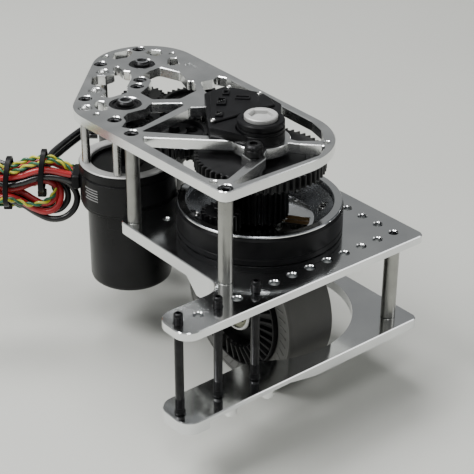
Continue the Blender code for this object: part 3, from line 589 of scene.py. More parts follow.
def outlet():
    """The strain relief where the drive motor's leads come out."""
    body = rounded([(-1.0, -9, 1.2), (4.4, -8.4, 1.8), (4.4, 8.4, 1.8), (-1.0, 9, 1.2)], 6)
    shells = [slab(body, -4.4, 4.4, edge=0.8)]
    for y, z in ((-3, -1.8), (2.5, -1.8), (-3, 2.2), (2.5, 2.2)):
        collar = lathe([(0, 3.0), (2.7, 3.0), (2.35, 5.4), (0, 5.4)], 28)
        shells.append(moved(collar, (0, y, z), ALONG_X))
    piece("lead_outlet", "frame", "plastic", together(shells), beside_motor(0, 8.0), ALONG_LEADS,
          replaces=["motor_1_outlet"])


def add_leads():
    plug = connector()
    ties = [cable_tie(i + 1, *tie) for i, tie in enumerate(TIES)]
    outlet()
    for name, route in LEAD_ROUTES.items():
        line = smooth_line([beside_motor(*p) for p in route])
        lead = cord_curve(f"lead_{name}", name.split("_")[0], line, LEAD_D)
        if name == "red_1":
            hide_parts("lead_bundle")
    for name, route in PAIR_ROUTES.items():
        line = smooth_line([beside_motor(*p) for p in route], 1.0)
        pair = twisted_pair(f"lead_{name}", line, PAIR_D, PAIR_PITCH)
    start = Vector((*MOTOR_2, 0)) + (beside_motor(1.0, 8.0) - Vector((*MOTOR_1, 0)))
    goal = beside_motor(20, 9, 15.6)
    for number, lift, end_z in ((1, 2.1, 4.4), (2, -2.1, 0.2)):
        up = Vector((0, 0, lift))
        route = [start + up, start + LEFT * 5 + up, start + LEFT * 10 + up, goal + BACK * 14 - LEFT * 1.5 + up,
                 goal + BACK * 3 + LEFT * 1 + up]
        route += [beside_motor(*p) for p in ((26, 10.5 + lift, 12.4), (34, 10 + lift, 9.4), (43, 9.8 + lift, 6.4),
                                             (53, 11.4 + lift, 9), (64, 11 + lift, 10), (76, 7.6 + lift / 2, 8),
                                             (HANK_END, end_z, 6.2))]
        line = smooth_line(route)
        lead = cord_curve(f"steering_lead_{number}", "black", line, LEAD_D)
        if number == 1:
            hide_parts("motor_2_leads")


# ---- plates ----

STANDOFFS = {"near": (44.3, 17.4), "left": (45.6, 102.8), "back": (134, 93)}
BLACK_SCREWS = (*STANDOFFS.values(), (48.8, 123.9), (52.7, 159.9), (90.4, 200.2), (124.2, 206.5), (94.8, 163.9),
                (87.6, 156.6))
OPEN_HOLES = ((44.9, 148.2), (64.0, 166.5), (84.3, 188.4))
EDGE_HOLE = (99.6, 208.6)
SMALL_HOLES = ((44.7, 136.4), (43.8, 26.4), (136.0, 187.0), (122.4, 26.0))
SPACER_SCREW = (80.0, 38.0)
BOSSES = ((80.5, 36.8, 3.9), (115.4, 32.4, 2.6), (125.6, 92.4, 4.2))
BEARING_R = {1: 9.4, 2: 8.0}
HUB_R = 16.7


def hub_arc(start, end, steps=20):
    return sharp(arc(AXIS, HUB_R, start, end, steps))


def pockets():
    """The windows that leave the arms between the bosses, each an outline."""
    made = [rounded([(x, y, 2.0) for x, y in corners], 6) for corners in (
        [(100, 201), (108, 211), (118, 210), (119, 205), (110, 199)],
        [(134, 195), (129, 201), (123.5, 199), (124.5, 190), (130, 190)],
        [(74, 185), (78, 185.5), (82, 181.5), (89, 182.5), (93.5, 191), (97, 190), (95, 182), (98, 178), (92, 169),
         (83, 160.5), (77, 152), (65, 152), (60.5, 157), (69, 162), (70, 170), (67.5, 176)],
        [(100, 169), (108, 172), (116, 173), (121, 158), (116, 144), (119, 141), (111, 129), (96, 125), (83, 134),
         (83, 147), (93, 152.5), (100, 159)],
        [(78, 130), (93, 119), (92, 116), (55, 106), (49, 107.5), (46, 113), (53, 118.5), (55, 124), (60, 127),
         (72, 126)],
        [(55.5, 153.5), (59, 149), (54, 138), (49.5, 139), (50, 147)],
        [(129.5, 182.5), (134, 178.5), (128, 168.5), (121.5, 172)],
    )]
    large = [(51, 101.5, 1.2), (91, 109.5, 3), (92.5, 111, 1), (101.5, 105.2, 2), (114.5, 117, 3),
             (114.5, 124.5, 2), (121.5, 138.5, 2), (130.5, 136.5, 3), (135, 139, 1), (137.6, 133, 2),
             (136.5, 100, 4), (129, 97, 3), (129, 89, 3), (136, 86, 4), (134.5, 52, 5), (131, 40, 4),
             (123.4, 29.6, 1.5), (120.2, 30.2, 1), (111.2, 37.4, 1), *hub_arc(-48, 146), (85, 64.2, 1)]
    lower = [*hub_arc(160, 204, 8), (76, 43.5, 1.5), (75, 34.5, 2), (51, 24.5, 1.5), (46.5, 28.5, 2), (44, 33, 2),
             (44, 88, 1.5), (47, 94.2, 1)]
    front = [(79, 29.5, 2), (50.5, 19.5, 1.5), (53, 16.5, 2), (108, 16.5, 6), (119, 23, 2), (109, 33.5, 1),
             *hub_arc(-66, -118, 10), (85.5, 35.5, 2), (83, 31, 2)]
    return made + [rounded(corners, 6) for corners in (large, lower, front)]


def upper_plate():
    outline = hull(circle(MOTOR_1, 30.4, 96) + circle((111.5, 181.2), 33.7, 96) + circle(AXIS, 41.3, 120)
                   + circle((LEFT_X + 5, -FRONT_Y + 4.7), 5, 32))
    holes = pockets()
    for places, radius, count in ((BLACK_SCREWS, 4.05, 40), (OPEN_HOLES, 4.0, 40), (SMALL_HOLES, 1.9, 20),
                                  ([MOTOR_1], BEARING_R[1] + 0.15, 56), ([MOTOR_2], BEARING_R[2] + 0.15, 56),
                                  ([AXIS], 5.0, 40), ([EDGE_HOLE], 2.4, 28)):
        holes += [circle(place, radius, count) for place in places]
    oval = rounded([(129.3, 157.6, 2.2), (134.6, 157, 2.2), (135.4, 167.4, 2.2), (130.8, 168.4, 2.2)])
    piece("top_plate", "frame", "plate", slab(outline, UNDER_Z, TOP_Z, holes),
          cuts=[slab(oval, TOP_Z - 1.1, TOP_Z + 5, edge=0)], replaces=["upper_plate"])
    bosses = [moved(rod(radius, UNDER_Z - 5.5, UNDER_Z + 0.6, 0.5), (x, y)) for x, y, radius in BOSSES]
    piece("top_plate_bosses", "frame", "plate", together(bosses))
    sleeves = [moved(lathe([(1.8, -5.8), (3.95, -5.8), (3.95, -3.6), (2.4, -3.6), (1.8, -4.2)], 32),
                     (*place, TOP_Z)) for place in OPEN_HOLES]
    piece("tapped_sleeves", "frame", "turned", together(sleeves))
    piece("top_plate_screws", "frame", "screw", together([socket_screw(p, TOP_Z - 1.1) for p in BLACK_SCREWS]),
          replaces=["near_standoff_screw", "left_standoff_screw"])
    spacer = lathe([(0, 0.1), (4.6, 0.1), (5.0, 0.6), (5.0, 3.8), (4.6, 4.2), (4.6, 4.6), (5.1, 4.6),
                         (5.1, 6.2), (4.2, 7.2), (2.3, 7.2), (2.3, 5.6), (0, 5.6)], 40)
    piece("spacer_screw", "frame", "screw", spacer, (*SPACER_SCREW, TOP_Z), bevel=0.15)


def turned_tool(points, first, last):
    """A prism whose outline, given as (y, z), stands across X."""
    bm = slab([(-y, z) for y, z in points], first, last, edge=0)
    return moved(bm, turn=Matrix(((0, 0, 1), (-1, 0, 0), (0, 1, 0))))


def middle_plate():
    outline = rounded([
        (-5.5, FRONT_Y, 9), (RIGHT_X, FRONT_Y, 4), (RIGHT_X, 70, 10), (141, 101, 10), (114, 127, 9), (94, 124, 5),
        (88, 112.4, 3), (LEFT_X, 112.4, 8), (LEFT_X, -FRONT_Y, 12), (-5.5, -FRONT_Y, 9)], 12)
    drilled = [(i * PITCH, 0) for i in range(13)] + [(12 * PITCH, j * PITCH) for j in (1, 2, 3)]
    holes = [circle(place, 2.6, 28) for place in drilled]
    holes += [circle((61.6, 93.1), 2.0, 24), circle(STEER_SHAFT, 4.0, 32), circle(AXIS, 41.1, 128)]
    deep = -40.0
    under = [(36.4, deep), (36.4, -SHOULDER_T + 0.4), (45.3, -BODY_T), (131, -BODY_T), (131, deep)]
    cuts = [turned_tool(box(-20, deep, PITCH + 0.1, -FLANGE_T), -20, 200), turned_tool(under, -20, 200),
            slab(box(11 * PITCH, -30, 190, 150), deep, -FLANGE_T, edge=0),
            moved(lathe([(0, -30), (29.6, -30), (29.6, 5), (0, 5)], 128), MOTOR_1)]
    plate = piece("base_plate", "frame", "mirror", slab(outline, -SHOULDER_T, 0, holes, 0.5), cuts=cuts,
                  replaces=["middle_plate"])
    # The walls of the drilled holes take a darker copy of the plate's metal: painted shade inside the holes, with
    # the chamfers left bright.
    second_finish(plate, "painted_shade_metal", lambda normal, spot: abs(normal.z) < 0.3 and any(
        hypot(spot.x - x, spot.y - y) < 2.8 for x, y in drilled))


def lower_plate():
    outline = rounded([(-5.5, FRONT_Y, 9), (RIGHT_X, FRONT_Y, 4), (RIGHT_X, 100, 8), (143, 100, 8), (143, 92, 3),
                       (100, 20, 3), (60, 14, 3), (-5.5, 14, 9)], 12)
    thin, normal, floor = LOWER_Z - 3.0, LOWER_Z - 6.35, LOWER_Z - 20
    section = [(10, thin), (66, thin), (84, normal), (190, normal), (190, floor), (10, floor)]
    relief = moved(slab(section, -30, 130, edge=0), (0, 100, 0), UPRIGHT)
    opening = moved(lathe([(0, -20), (55.7, -20), (55.7, 20), (0, 20)], 128), (*AXIS, LOWER_Z))
    holes = [circle((i * PITCH, 0), 2.6, 28) for i in (0, 2, 4)]
    piece("clamp_plate", "frame", "mirror", slab(outline, LOWER_Z - 7.9, LOWER_Z, holes, 0.5),
          cuts=[opening, relief], replaces=["lower_plate"])
    feet = [slab(box(x - 3, -12.3, x + 3, -4, 1.5, 5), LOWER_Z - 7.4, LOWER_Z - 2.2, edge=0.4)
            for x in (26.0, 52.0)]
    piece("clamp_plate_pads", "frame", "plate", together(feet))


def thread(start, turns):
    """The side of a thread, going up."""
    return [(2.15 if k % 2 else 2.5, start + 0.4 * k) for k in range(turns)]


def posts():
    for name, place in STANDOFFS.items():
        piece(f"{name}_post", "frame", "post", rod(4.0, 0, UNDER_Z, 0.5, 56), place, replaces=[f"{name}_standoff"])
    piece("corner_post", "frame", "post", rod(4.3, LOWER_Z, -FLANGE_T, 0.5, 56), (12 * PITCH, 0),
          replaces=["corner_standoff"])
    foot = [(0, -2.4), (2.3, -2.4), (2.3, 0), (2.8, 0.3), (3.0, 0.6), (3.0, 1.4), (2.5, 1.9), *thread(3.2, 16),
            (2.4, 10)]
    head = [(2.4, -6.5), (2.9, -6.3), (2.9, -4.9), (2.4, -4.8), *thread(-1.6, 15), (2.45, 4.4), (2.45, 5.3),
            (1.9, 6.0), (1.3, 6.1), (1.3, 4.6), (0, 4.6)]
    nuts = []
    for i in range(3):
        place = (2 * i * PITCH, 0)
        screw = lathe([(radius, LOWER_Z + height) for radius, height in foot] + head, 36)
        piece(f"long_screw_{i + 1}", "frame", "screw", screw, place, smooth=50, replaces=[f"flange_rod_{i + 1}"])
        nut = slab(disc(4.2, 6), LOWER_Z - 6.2, LOWER_Z - 3.0, [disc(2.4, 24)], 0.35)
        nuts.append(moved(nut, place))
    piece("clamp_nuts", "frame", "steel", together(nuts))


# ---- motors ----

def motor(number, place, post_angles, gear_z, phase):
    name = f"motor_{number}"
    body = f"{name}_rotor"
    top = MOTOR_TOP_Z
    split = MOTOR_SPLIT_Z
    shell = lathe([
        (0, split), (27.4, split), (28.2, split + 0.7), (28.2, split + 2.2), (HOUSING_R, split + 3),
        (HOUSING_R, 1.0), (28.75, 1.15), (28.75, 1.45), (HOUSING_R, 1.6), (HOUSING_R, 14.6), (28.55, 14.85),
        (28.55, 15.4), (HOUSING_R, 15.65), (HOUSING_R, top - 1.2), (28.6, top - 0.6), (27.8, top - 0.6),
        (22.2, top - 0.6), (22.2, top - 4), (9.2, top - 4), (8.6, top - 3), (6.2, top - 3), (5.6, top - 4),
        (4.4, top - 4), (4.4, top - 12), (0, top - 12)], 128)
    piece(f"{name}_shell", "frame", "motor", shell, place, smooth=30, replaces=[f"{name}_housing"])
    face = lathe([(22.0, -2.2), (28.5, -2.2), (28.7, -0.5), (28.2, 0), (22.6, 0), (22.0, -0.5)], 128)
    piece(f"{name}_face", "frame", "satin", face, (*place, top))
    can = lathe([(0, -58.5), (20.5, -58.5), (23.2, -58.0), (24.5, -56.9), (CAN_R, -55.0), (CAN_R, -9.2),
                      (CAN_R - 0.5, -8.8), (CAN_R - 0.5, split), (0, split)], 112)
    piece(f"{name}_barrel", "frame", "motor", can, place, smooth=40, replaces=[f"{name}_can"])
    vent = [(0, -59.0), (2.4, -59.0), (2.6, -58.6), (2.6, -58.2), (0, -58.2)]
    piece(f"{name}_vents", "frame", "screw", together([moved(lathe(vent, 24), p) for p in circle(place, 13, 6)]))
    shaft = lathe([
        (0, top - 11.5), (4.0, top - 11.5), (4.0, TOP_Z - 1.0), (5.0, TOP_Z - 0.9), (5.0, TOP_Z + 1.2),
        (4.3, TOP_Z + 1.9), (2.6, TOP_Z + 1.9), (2.2, TOP_Z + 1.3), (0, TOP_Z + 1.3)], 56)
    piece(f"{name}_spindle", body, "gear", shaft, place, replaces=[f"{name}_shaft"])
    clip = lathe([(3.0, 1.75), (4.1, 1.75), (4.1, 2.35), (3.0, 2.35)], 48)
    piece(f"{name}_clip", body, "grey", clip, (*place, TOP_Z), bevel=0.1)
    outer = BEARING_R[number]
    ring = lathe([(5.2, -6.0), (outer, -6.0), (outer, -1.0), (outer - 0.4, -0.6), (outer - 1.5, -0.6),
                       (outer - 1.7, -1.3), (6.4, -1.3), (6.2, -0.7), (5.4, -0.7), (5.2, -1.0)], 80)
    piece(f"{name}_bearing", "frame", "screw", ring, (*place, TOP_Z), smooth=30, replaces=[f"{name}_shaft_bearing"])
    spur(f"{name}_drive_pinion", body, 20, gear_z, 4.2, place, phase, f"{name}_pinion")
    studs = [moved(rod(2.5, top, UNDER_Z, 0.3, 32), polar(place, 24.6, radians(a))) for a in post_angles]
    piece(f"{name}_studs", "frame", "steel", together(studs), replaces=[f"{name}_post_{i}" for i in (1, 2, 3)])


def on_housing(turn, height, radius=HOUSING_R):
    """A place on the drive motor's side, the turn counted in degrees from the viewer towards the leads."""
    angle = radians(turn)
    return Vector((*MOTOR_1, height)) + (LEFT * sin(angle) - BACK * cos(angle)) * radius


def curved_patch(first, last, low, high, thick, radius=HOUSING_R):
    """A thin sheet on the drive motor's side."""
    steps = 14
    bm = bmesh.new()
    rows = [[bm.verts.new(on_housing(first + (last - first) * i / steps, z, r)) for i in range(steps + 1)]
            for r, z in ((radius - 0.2, low), (radius - 0.2, high), (radius + thick, high), (radius + thick, low))]
    join_rings(bm, list(zip(*rows)))
    for i in (0, steps):
        bm.faces.new([row[i] for row in rows])
    return bm


def motor_marks():
    """Blank lines where the drive motor carries its print, two lamps and the tongue under the housing."""
    lines = [curved_patch(33, 54 - 2 * (k % 2), 9.6 - 1.7 * k, 10.3 - 1.7 * k, 0.52) for k in range(5)]
    piece("print_lines", "frame", "print", together(lines))
    facing = (on_housing(-11, 0) - Vector((*MOTOR_1, 0))).to_track_quat("Z", "Y").to_matrix()
    lamps = [moved(rod(0.8, -0.5, 0.5, 0.2, 20), on_housing(-11, z, HOUSING_R + 0.35), facing) for z in (8.6, 5.8)]
    piece("lamps", "frame", "steel", together(lamps))
    piece("motor_tongue", "frame", "motor", curved_patch(-6, 26, -15.5, -7.0, 0.6, CAN_R), bevel=0.3)
    piece("motor_cover", "frame", "motor", curved_patch(-20, 62, -4.4, 14.4, 0.45), bevel=0.25)


# ---- gears ----

def phase_for(leader_centre, leader_teeth, leader_phase, centre, teeth):
    """The phase that puts a gap of this gear over the tooth of the one that it meshes with."""
    out = atan2(centre[1] - leader_centre[1], centre[0] - leader_centre[0])
    at_leader = (out / (2 * pi) * leader_teeth - leader_phase) % 1.0
    back = (out + pi) / (2 * pi) * teeth
    return (back + at_leader + 0.5) % 1.0


def spur(name, body, teeth, heights, bore, place, phase, node, spokes=0, tip_radius=None):
    """A spur gear, either solid or a toothed rim round a thinner web with a hub and round openings."""
    low, high = heights
    outline = teeth_outline(teeth, phase, tip_radius=tip_radius)
    if spokes:
        middle = (low + high) / 2
        rim = teeth * MODULE / 2 + 1.0 - 4.6
        hub = bore + 4.0
        open_r = (rim - hub) / 2 * 0.78
        openings = [circle(spot, open_r, 32) for spot in disc((rim + hub) / 2, spokes)]
        bm = together([slab(outline, low, high, [disc(rim, 96)], 0.25),
                       slab(disc(rim + 0.2, 96), middle - 1.2, middle + 1.2,
                                  [disc(hub - 0.2, 48), *openings], 0.3),
                       lathe([(bore, low), (hub - 0.4, low), (hub, low + 0.4), (hub, high - 0.4),
                                   (hub - 0.4, high), (bore, high)], 56)])
    else:
        bm = slab(outline, low, high, [disc(bore, 40)], 0.25)
    piece(name, body, "gear", bm, place, smooth=32, replaces=[node])


def gears():
    idler = phase_for(AXIS, 57, 0.0, DRIVE_IDLER, 33)
    pinion = phase_for(DRIVE_IDLER, 33, idler, MOTOR_1, 20)
    steer_pinion = phase_for(AXIS, 62, 0.0, STEER_SHAFT, 31)
    steer_idler = phase_for(STEER_SHAFT, 40, 0.0, STEER_IDLER, 37)
    steer_motor = phase_for(STEER_IDLER, 37, steer_idler, MOTOR_2, 20)
    spur("drive_wheel_gear", "centre_gears", 57, UPPER_GEAR_Z, 5.2, AXIS, 0.0, "centre_gear")
    spur("long_pinion", "centre_gears", 26, (8.0, 37.8), 5.2, AXIS, 0.0, "tall_gear", tip_radius=16.6)
    spur("idler_spur", "drive_idler", 33, UPPER_GEAR_Z, 3.5, DRIVE_IDLER, idler, "drive_idler_gear", spokes=6)
    spur("steer_idler_spur", "steering_idler", 37, LOWER_GEAR_Z, 4.4, STEER_IDLER, steer_idler,
         "steering_idler_gear", spokes=6)
    spur("steer_spur", "steering_shaft", 40, LOWER_GEAR_Z, 3.3, STEER_SHAFT, 0.0, "steering_gear", spokes=6)
    spur("steer_pinion_spur", "steering_shaft", 31, AZIMUTH_GEAR_Z, 3.3, STEER_SHAFT, steer_pinion,
         "steering_pinion")
    spur("transfer_spur", "bevel_shaft", 18, (8.0, 19.0), 3.4, BEVEL_SHAFT, 0.0, "transfer_gear", tip_radius=11.3)
    piece("turntable_gear", "turntable", "gear",
          slab(teeth_outline(62), *AZIMUTH_GEAR_Z, [disc(34.2, 96)], 0.25), AXIS, smooth=32,
          replaces=["azimuth_gear"])
    for name, place, low, radius in (("drive_idler_axle", DRIVE_IDLER, UPPER_GEAR_Z[0], 3.1),
                                     ("steering_idler_axle", STEER_IDLER, LOWER_GEAR_Z[0], 4.1)):
        axle = lathe([
            (0, low - 2.4), (radius + 1.4, low - 2.4), (radius + 2, low - 1.8), (radius + 2, low - 0.3),
            (radius, low - 0.3), (radius, UNDER_Z), (0, UNDER_Z)], 48)
        piece(f"{name}_pin", "frame", "screw", axle, place, bevel=0.15, replaces=[name])
    motor(1, MOTOR_1, (157, 222, 62), UPPER_GEAR_Z, pinion)
    motor(2, MOTOR_2, (59, 142, 231), LOWER_GEAR_Z, steer_motor)


# ---- encoder ----

def encoder():
    barrel = lathe([
        (4.3, TOP_Z), (13.1, TOP_Z), (13.4, TOP_Z + 0.4), (13.4, 60.2), (13.05, 60.5), (13.05, 60.9),
        (13.4, 61.2), (13.4, 62.6), (12.7, 62.9), (12.7, 63.5), (13.3, 63.8), (13.3, 66.2), (12.7, 66.9),
        (10.2, 66.9), (9.9, 66.4), (4.3, 66.4)], 112)
    piece("encoder_drum", "frame", "plastic", barrel, AXIS, smooth=30, replaces=["encoder_barrel"])
    cap = slab(disc(9.4, 96), 66.3, 69.3, [disc(6.8, 6, 0.35)], 0.5)
    floor = slab(disc(7.1, 6, 0.35), 66.4, 67.0, edge=0)
    piece("encoder_crown", "frame", "satin", together([cap, floor]), AXIS, replaces=["encoder_cap"])
    outline = rounded([(76, 72, 2), *sharp(arc(AXIS, 13.7, 195, -30, 25)), (120, 62, 2), (129, 72, 3),
                       (131, 92, 4), (120, 113, 4), (104, 112, 3)])
    lid = rounded([(79.5, 74, 2), (94, 73, 1), (103, 73.5, 1), (123.5, 71, 2), (127.6, 80, 3), (128, 91, 3),
                   (118.4, 109.4, 3), (105.4, 108.5, 3)], 6)
    shells = [slab(outline, TOP_Z + 0.1, 61.2, edge=0.5), slab(lid, 61.0, 62.6, edge=0.5)]
    along = Matrix.Rotation(radians(47), 3, "Z")
    for x, y, wide, deep, tall in ((101, 92, 9, 5.5, 64.2), (89, 79, 6, 4.4, 64.0), (115, 90, 5, 9, 63.4),
                                   (111.5, 101, 6, 4, 63.8)):
        x1, y1 = wide / 2, deep / 2
        slot = box(1 - x1, 1 - y1, x1 - 1, y1 - 1, 0.3, 3)
        shells.append(moved(slab(box(-x1, -y1, x1, y1, 0.6), 62.0, tall, [slot], 0.25), (x, y), along))
    piece("encoder_case", "frame", "plastic", together(shells), smooth=35, replaces=["encoder_body"])
    pins = [moved(slab(box(-0.3, -0.3, 0.3, 0.3), 61.5, 64.0, edge=0.1), (x + (k - 1) * wide / 5, y))
            for x, y, wide in ((101, 92, 9), (88.5, 78.5, 6)) for k in range(3)]
    screws = [socket_screw(place, 63.3, 1.7, 1.2, 0.9) for place in ((81.6, 75.4), (126.4, 88.6), (118.6, 107.2))]
    piece("encoder_pins", "frame", "steel", together(pins + screws))


# ---- turntable, fork and wheel ----

def ring():
    band = lathe([(44.5, 0.1), (46.9, 0.1), (RING_R, 0.7), (RING_R, 3.6), (RING_R - 0.25, 3.8),
                       (RING_R - 0.25, 4.1), (RING_R, 4.3), (RING_R, 15.0), (RING_R - 1.0, 16.2), (44.5, 16.2)], 160)
    piece("ring_band", "frame", "anodised", band, AXIS, smooth=30, replaces=["azimuth_housing"])
    race = lathe([(41.2, 0.2), (44.3, 0.2), (44.3, 6.0), (43.6, 6.2), (43.3, 5.6), (42.2, 5.6), (41.9, 6.2),
                       (41.2, 6.0)], 128)
    piece("ring_race", "frame", "steel", race, AXIS, replaces=["azimuth_bearing"])


def window(start, inner_end, outer_end):
    """A slot through the turntable's floor, between headings in degrees."""
    outline = arc((0, 0), 14, start, inner_end, 16) + arc((0, 0), 29, outer_end, start, 16)
    return moved(slab(outline, -3, 9, edge=0), AXIS)


def well(place, radius, low, high, count):
    """A cutter for a round hole."""
    return moved(lathe([(0, low), (radius, low), (radius, high), (0, high)], count), place)


def turntable():
    top = RING_TOP_Z
    profile = [(6, 0.8), (34, 0.8), (34, -7.7), (40.3, -7.7), (40.7, -7.3), (40.7, 6.6), (43.9, 6.6), (43.9, 16.4),
               (46.4, 16.4), (46.9, 16.9), (46.9, top - 0.5), (46.4, top), (42.3, top), (41.8, top - 0.5),
               (41.8, 14), (31, 6), (6, 6)]
    spots = [polar(AXIS, 36.2, radians(-32 + 45 * k)) for k in range(8)]
    spots = [spot for spot in spots if (Vector(spot) - Vector(BEVEL_SHAFT)).length > 16]
    cuts = [well(BEVEL_SHAFT, 6.2, -2, 12, 48), well(BEVEL_SHAFT, 12.2, 6.6, 15, 64), window(-100, -30, -42),
            window(20, 80, 80), *[well(spot, 3.3, 7.8, 20, 40) for spot in spots]]
    body = piece("turntable_body", "turntable", "mirror", lathe(profile, 160), AXIS, smooth=30, cuts=cuts,
                 replaces=["turntable"])
    # The sloped faces, mostly the bowl's wall, take a darker copy of the same metal: painted shade.
    second_finish(body, "painted_shade_metal", lambda normal, spot: 0.3 < normal.z < 0.95)
    screws = [socket_screw(spot, 10.0, 2.4, 2.2, 1.3) for spot in spots]
    piece("turntable_screws", "turntable", "steel", together(screws))
    # Two thin tan strips on the back wall of the front window: a painted reflection, with the wall's dark line left
    # between them.
    first, last = Vector(polar(AXIS, 14.6, radians(-31))), Vector(polar(AXIS, 28.4, radians(-42)))
    along = (last - first).normalized()
    side = Vector((along.y, -along.x)) * 0.25
    strip = [tuple(first), tuple(first + side), tuple(last + side), tuple(last)]
    strips = [slab(strip, low, high, edge=0) for low, high in ((1.2, 3.1), (3.7, 5.6))]
    piece("window_wall_painted_reflection", "turntable", "painted_reflection_tan", together(strips))
    piece("encoder_spindle", "turntable", "steel", rod(3.0, 6.3, TOP_Z + 4, 0.4, 36), AXIS,
          replaces=["encoder_shaft"])
    piece("steering_spindle", "steering_shaft", "steel", rod(3.0, AZIMUTH_GEAR_Z[0] - 1, UNDER_Z, 0.4, 36),
          STEER_SHAFT, replaces=["steering_shaft"])


def leg_outline(top):
    """A fork leg from the front: straight sides that run down to a round end about the axle."""
    half, end_r, side = 19.0, 8.0, -31.0
    slope = atan2(side - WHEEL_Z, half - end_r)
    turn = pi / 2 - slope
    end = [(*polar((0, WHEEL_Z), end_r, turn * 0.2 - (pi + 0.4 * turn) * k / 24), 0) for k in range(25)]
    return rounded([(-half, top, 0), (half, top, 0), (half, side, 4), *end, (-half, side, 4)])


def fork():
    across = Matrix(((0, 0, 1), (1, 0, 0), (0, 1, 0)))
    for name, x0, x1, slotted in (("left", -27.5, -22.0, True), ("right", 19.5, 25.0, False)):
        bm = moved(slab(leg_outline(0.4), x0, x1, [circle((0, WHEEL_Z), 4.3, 40)], 0.5), turn=across)
        slot = box(x0 - 5, -11.2, x1 + 5, 11.2)
        cuts = [moved(slab(slot, -30, 10, edge=0), AXIS)] if slotted else []
        piece(f"{name}_leg", "turntable", "turned", bm, AXIS, cuts=cuts, replaces=[f"{name}_fork_leg"])


def on_hub(name, body, paint, bm, **more):
    """A piece drawn about Z and laid along the axle, where the mesh's Z becomes X."""
    return piece(name, body, paint, bm, HUB, ALONG_X, **more)


def wheel():
    half = 31.75 / 2
    tyre = lathe([
        (35.9, -half + 0.4), (36.6, -half), (44.6, -half), (45.0, -half - 0.25), (46.2, -half - 0.25),
        (47.2, -half + 0.4), (WHEEL_R, -half + 1.6), (WHEEL_R, half - 1.6), (47.2, half - 0.4),
        (46.2, half + 0.25), (45.0, half + 0.25), (44.6, half), (36.6, half), (35.9, half - 0.4)], 192)
    tread = on_hub("tyre_tread", "wheel", "tread", tyre, smooth=50, replaces=["tyre"])
    second_finish(tread, "sidewall", lambda normal, spot: abs(normal.x) > 0.9)
    lean = Matrix.Rotation(radians(28), 3, "Z")
    ribs = [moved(moved(slab(box(-0.55, -2.9, 0.55, 2.9, 0.5, 3), -0.35, 0.35, edge=0.15),
                        (0, 40.6, -half), lean), turn=Matrix.Rotation(2 * pi * k / 48, 3, "Z"))
            for k in range(48)]
    on_hub("sidewall_ribs", "wheel", "sidewall", together(ribs))
    core = lathe([
        (8.3, -17.5), (13.2, -17.5), (13.6, -17.1), (13.6, -12), (34.7, -12), (34.7, -18.5), (34.9, -18.7),
        (35.4, -18.7), (35.6, -18.5), (35.6, half - 0.8), (35.2, half - 0.4), (30.4, half - 0.4),
        (30, half - 0.8), (30, 8), (12, 8), (12, 15.1), (11.6, 15.5), (8.3, 15.5)], 144)
    on_hub("wheel_hub", "wheel", "gear", core, smooth=30, replaces=["wheel_core"])
    bolts = [socket_screw(spot, 10.4, 2.7, 2.6, 1.4) for spot in disc(21, 6)]
    on_hub("wheel_bolts", "wheel", "steel", together(bolts))
    for name, x in (("left", -15.2), ("right", 10.2)):
        race = lathe([(4.4, x), (5.6, x), (5.8, x + 0.5), (6.8, x + 0.5), (7.0, x), (8.1, x), (8.1, x + 5),
                           (7.0, x + 5), (6.8, x + 4.5), (5.8, x + 4.5), (5.6, x + 5), (4.4, x + 5)], 64)
        on_hub(f"wheel_race_{name}", "wheel", "steel", race, replaces=[f"wheel_bearing_{name}"])
    left, right = -27.5, 25.0
    shaft = lathe([
        (0, left - 4), (2.6, left - 4), (2.8, left - 3.2), (5.6, left - 3.2), (6.2, left - 2.6), (6.2, left),
        (4.0, left), (4.0, right), (6.2, right), (6.2, right + 3.2), (5.4, right + 4), (0, right + 4)], 56)
    on_hub("wheel_axle", "turntable", "steel", shaft, bevel=0.2, replaces=["axle"])
    rim = lathe([(11.8, -18.8), (13.0, -18.8), (13.6, -18.2), (13.6, -17.4), (11.8, -17.4)], 80)
    on_hub("hub_rim", "wheel", "turned", rim, bevel=0.1)
    cover = lathe([(6.4, -18.5), (10.6, -18.5), (10.9, -18.0), (11.6, -18.0), (11.6, -17.4), (6.4, -17.4)], 80)
    on_hub("hub_cover", "wheel", "olive", cover)
    heads = [moved(rod(1.1, -18.9, -18.2, 0.2, 20), spot) for spot in disc(8.7, 6)]
    on_hub("hub_screws", "wheel", "screw", together(heads))
    bevel_ring()


def bevel_ring():
    """A flat ring with radial teeth on its left face."""
    inner, outer, back = 23.0, 34.4, -12.3
    inner_tip, outer_tip, depth = -21.0, -18.6, 2.4
    count = 36
    angles = [(i + share) * 2 * pi / count for i in range(count) for share in (-0.27, -0.11, 0.11, 0.27)]
    bm = bmesh.new()

    def row(radius, face, tip):
        return [bm.verts.new((radius * cos(a), radius * sin(a), tip if k % 4 in (1, 2) else face))
                for k, a in enumerate(angles)]
    hub = inner - 0.4
    inner_face, outer_face = inner_tip + depth, outer_tip + depth
    rows = [row(hub, inner_face, inner_face), row(inner, inner_face, inner_tip), row(outer, outer_face, outer_tip),
            row(outer, back, back), row(hub, back, back)]
    join_rings(bm, rows + rows[:1])
    on_hub("bevel_crown", "wheel", "gear", bm, smooth=25, bevel=0.22, replaces=["bevel_gear"])


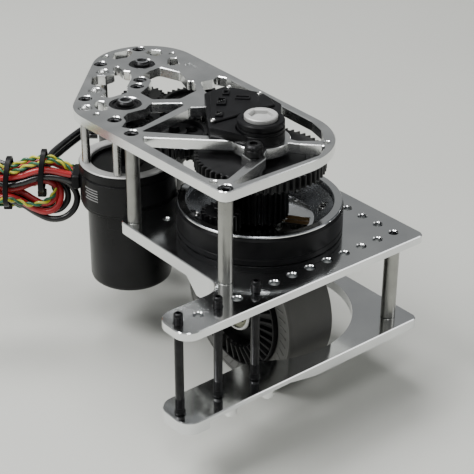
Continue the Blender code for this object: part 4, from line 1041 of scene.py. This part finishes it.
def bevel_shaft():
    low, high = WHEEL_Z + 23.0, WHEEL_Z + 34.4
    shaft = rod(3.2, low - 0.5, 20.5, 0.4)
    big, small = 9.25, 6.85
    teeth = slab(teeth_outline(10, tip_radius=big, tip=0.9, root=0.9), low, high, edge=0.2)
    for vert in teeth.verts:
        if vert.co.z < (low + high) / 2:
            vert.co.x *= small / big
            vert.co.y *= small / big
    nut = slab(disc(4.6, 6), 19.2, 22.0, edge=0.3)
    piece("bevel_spindle", "bevel_shaft", "gear", together([shaft, teeth, nut]), BEVEL_SHAFT, smooth=32,
          replaces=["bevel_pinion"])
    race = lathe([(3.5, 1.1), (4.3, 1.1), (4.4, 1.4), (5.0, 1.4), (5.1, 1.1), (5.9, 1.1), (5.9, 5.7), (5.1, 5.7),
                       (5.0, 5.4), (4.4, 5.4), (4.3, 5.7), (3.5, 5.7)], 48)
    piece("bevel_shaft_race", "turntable", "steel", race, BEVEL_SHAFT, replaces=["bevel_shaft_bearing"])


# ---- stage ----

FLOOR_Z = -96.7


def area_light(name, place, aim, size, power):
    data = bpy.data.lights.new(name, "AREA")
    data.shape = "RECTANGLE"
    data.size, data.size_y = size
    data.energy = power
    light = linked(name, data)
    light.location = place
    light.rotation_euler = (Vector(aim) - Vector(place)).to_track_quat("-Z", "Y").to_euler()


def add_stage():
    bm = bmesh.new()
    bmesh.ops.create_grid(bm, x_segments=8, y_segments=8, size=4)
    bmesh.ops.translate(bm, vec=(0, 0, (FLOOR_Z + FLANGE_T) * MM), verts=bm.verts)
    mesh = bpy.data.meshes.new("floor")
    bm.to_mesh(mesh)
    bm.free()
    mesh.materials.append(PAINT["floor"])
    linked("floor", mesh)
    room = bpy.data.worlds.new("room")
    room.use_nodes = True
    background = room.node_tree.nodes["Background"]
    background.inputs["Color"].default_value = (0.84, 0.86, 0.86, 1)
    background.inputs["Strength"].default_value = 0.32
    bpy.context.scene.world = room
    area_light("key", (-0.75, 0.35, 1.15), (0, 0.05, -0.05), (0.55, 0.55), 17)
    area_light("top", (0.1, 0.75, 1.5), (0, 0.08, 0), (0.9, 0.6), 21)
    area_light("front", (-0.45, -0.55, 1.4), (0, 0.05, 0), (0.4, 0.4), 5)
    area_light("side", (1.1, -0.9, 0.8), (0, 0.05, 0), (0.6, 0.9), 3)


for add in (add_camera, add_leads, upper_plate, middle_plate, lower_plate, posts, gears, motor_marks, encoder, ring,
            turntable, fork, wheel, bevel_shaft, add_stage):
    add()
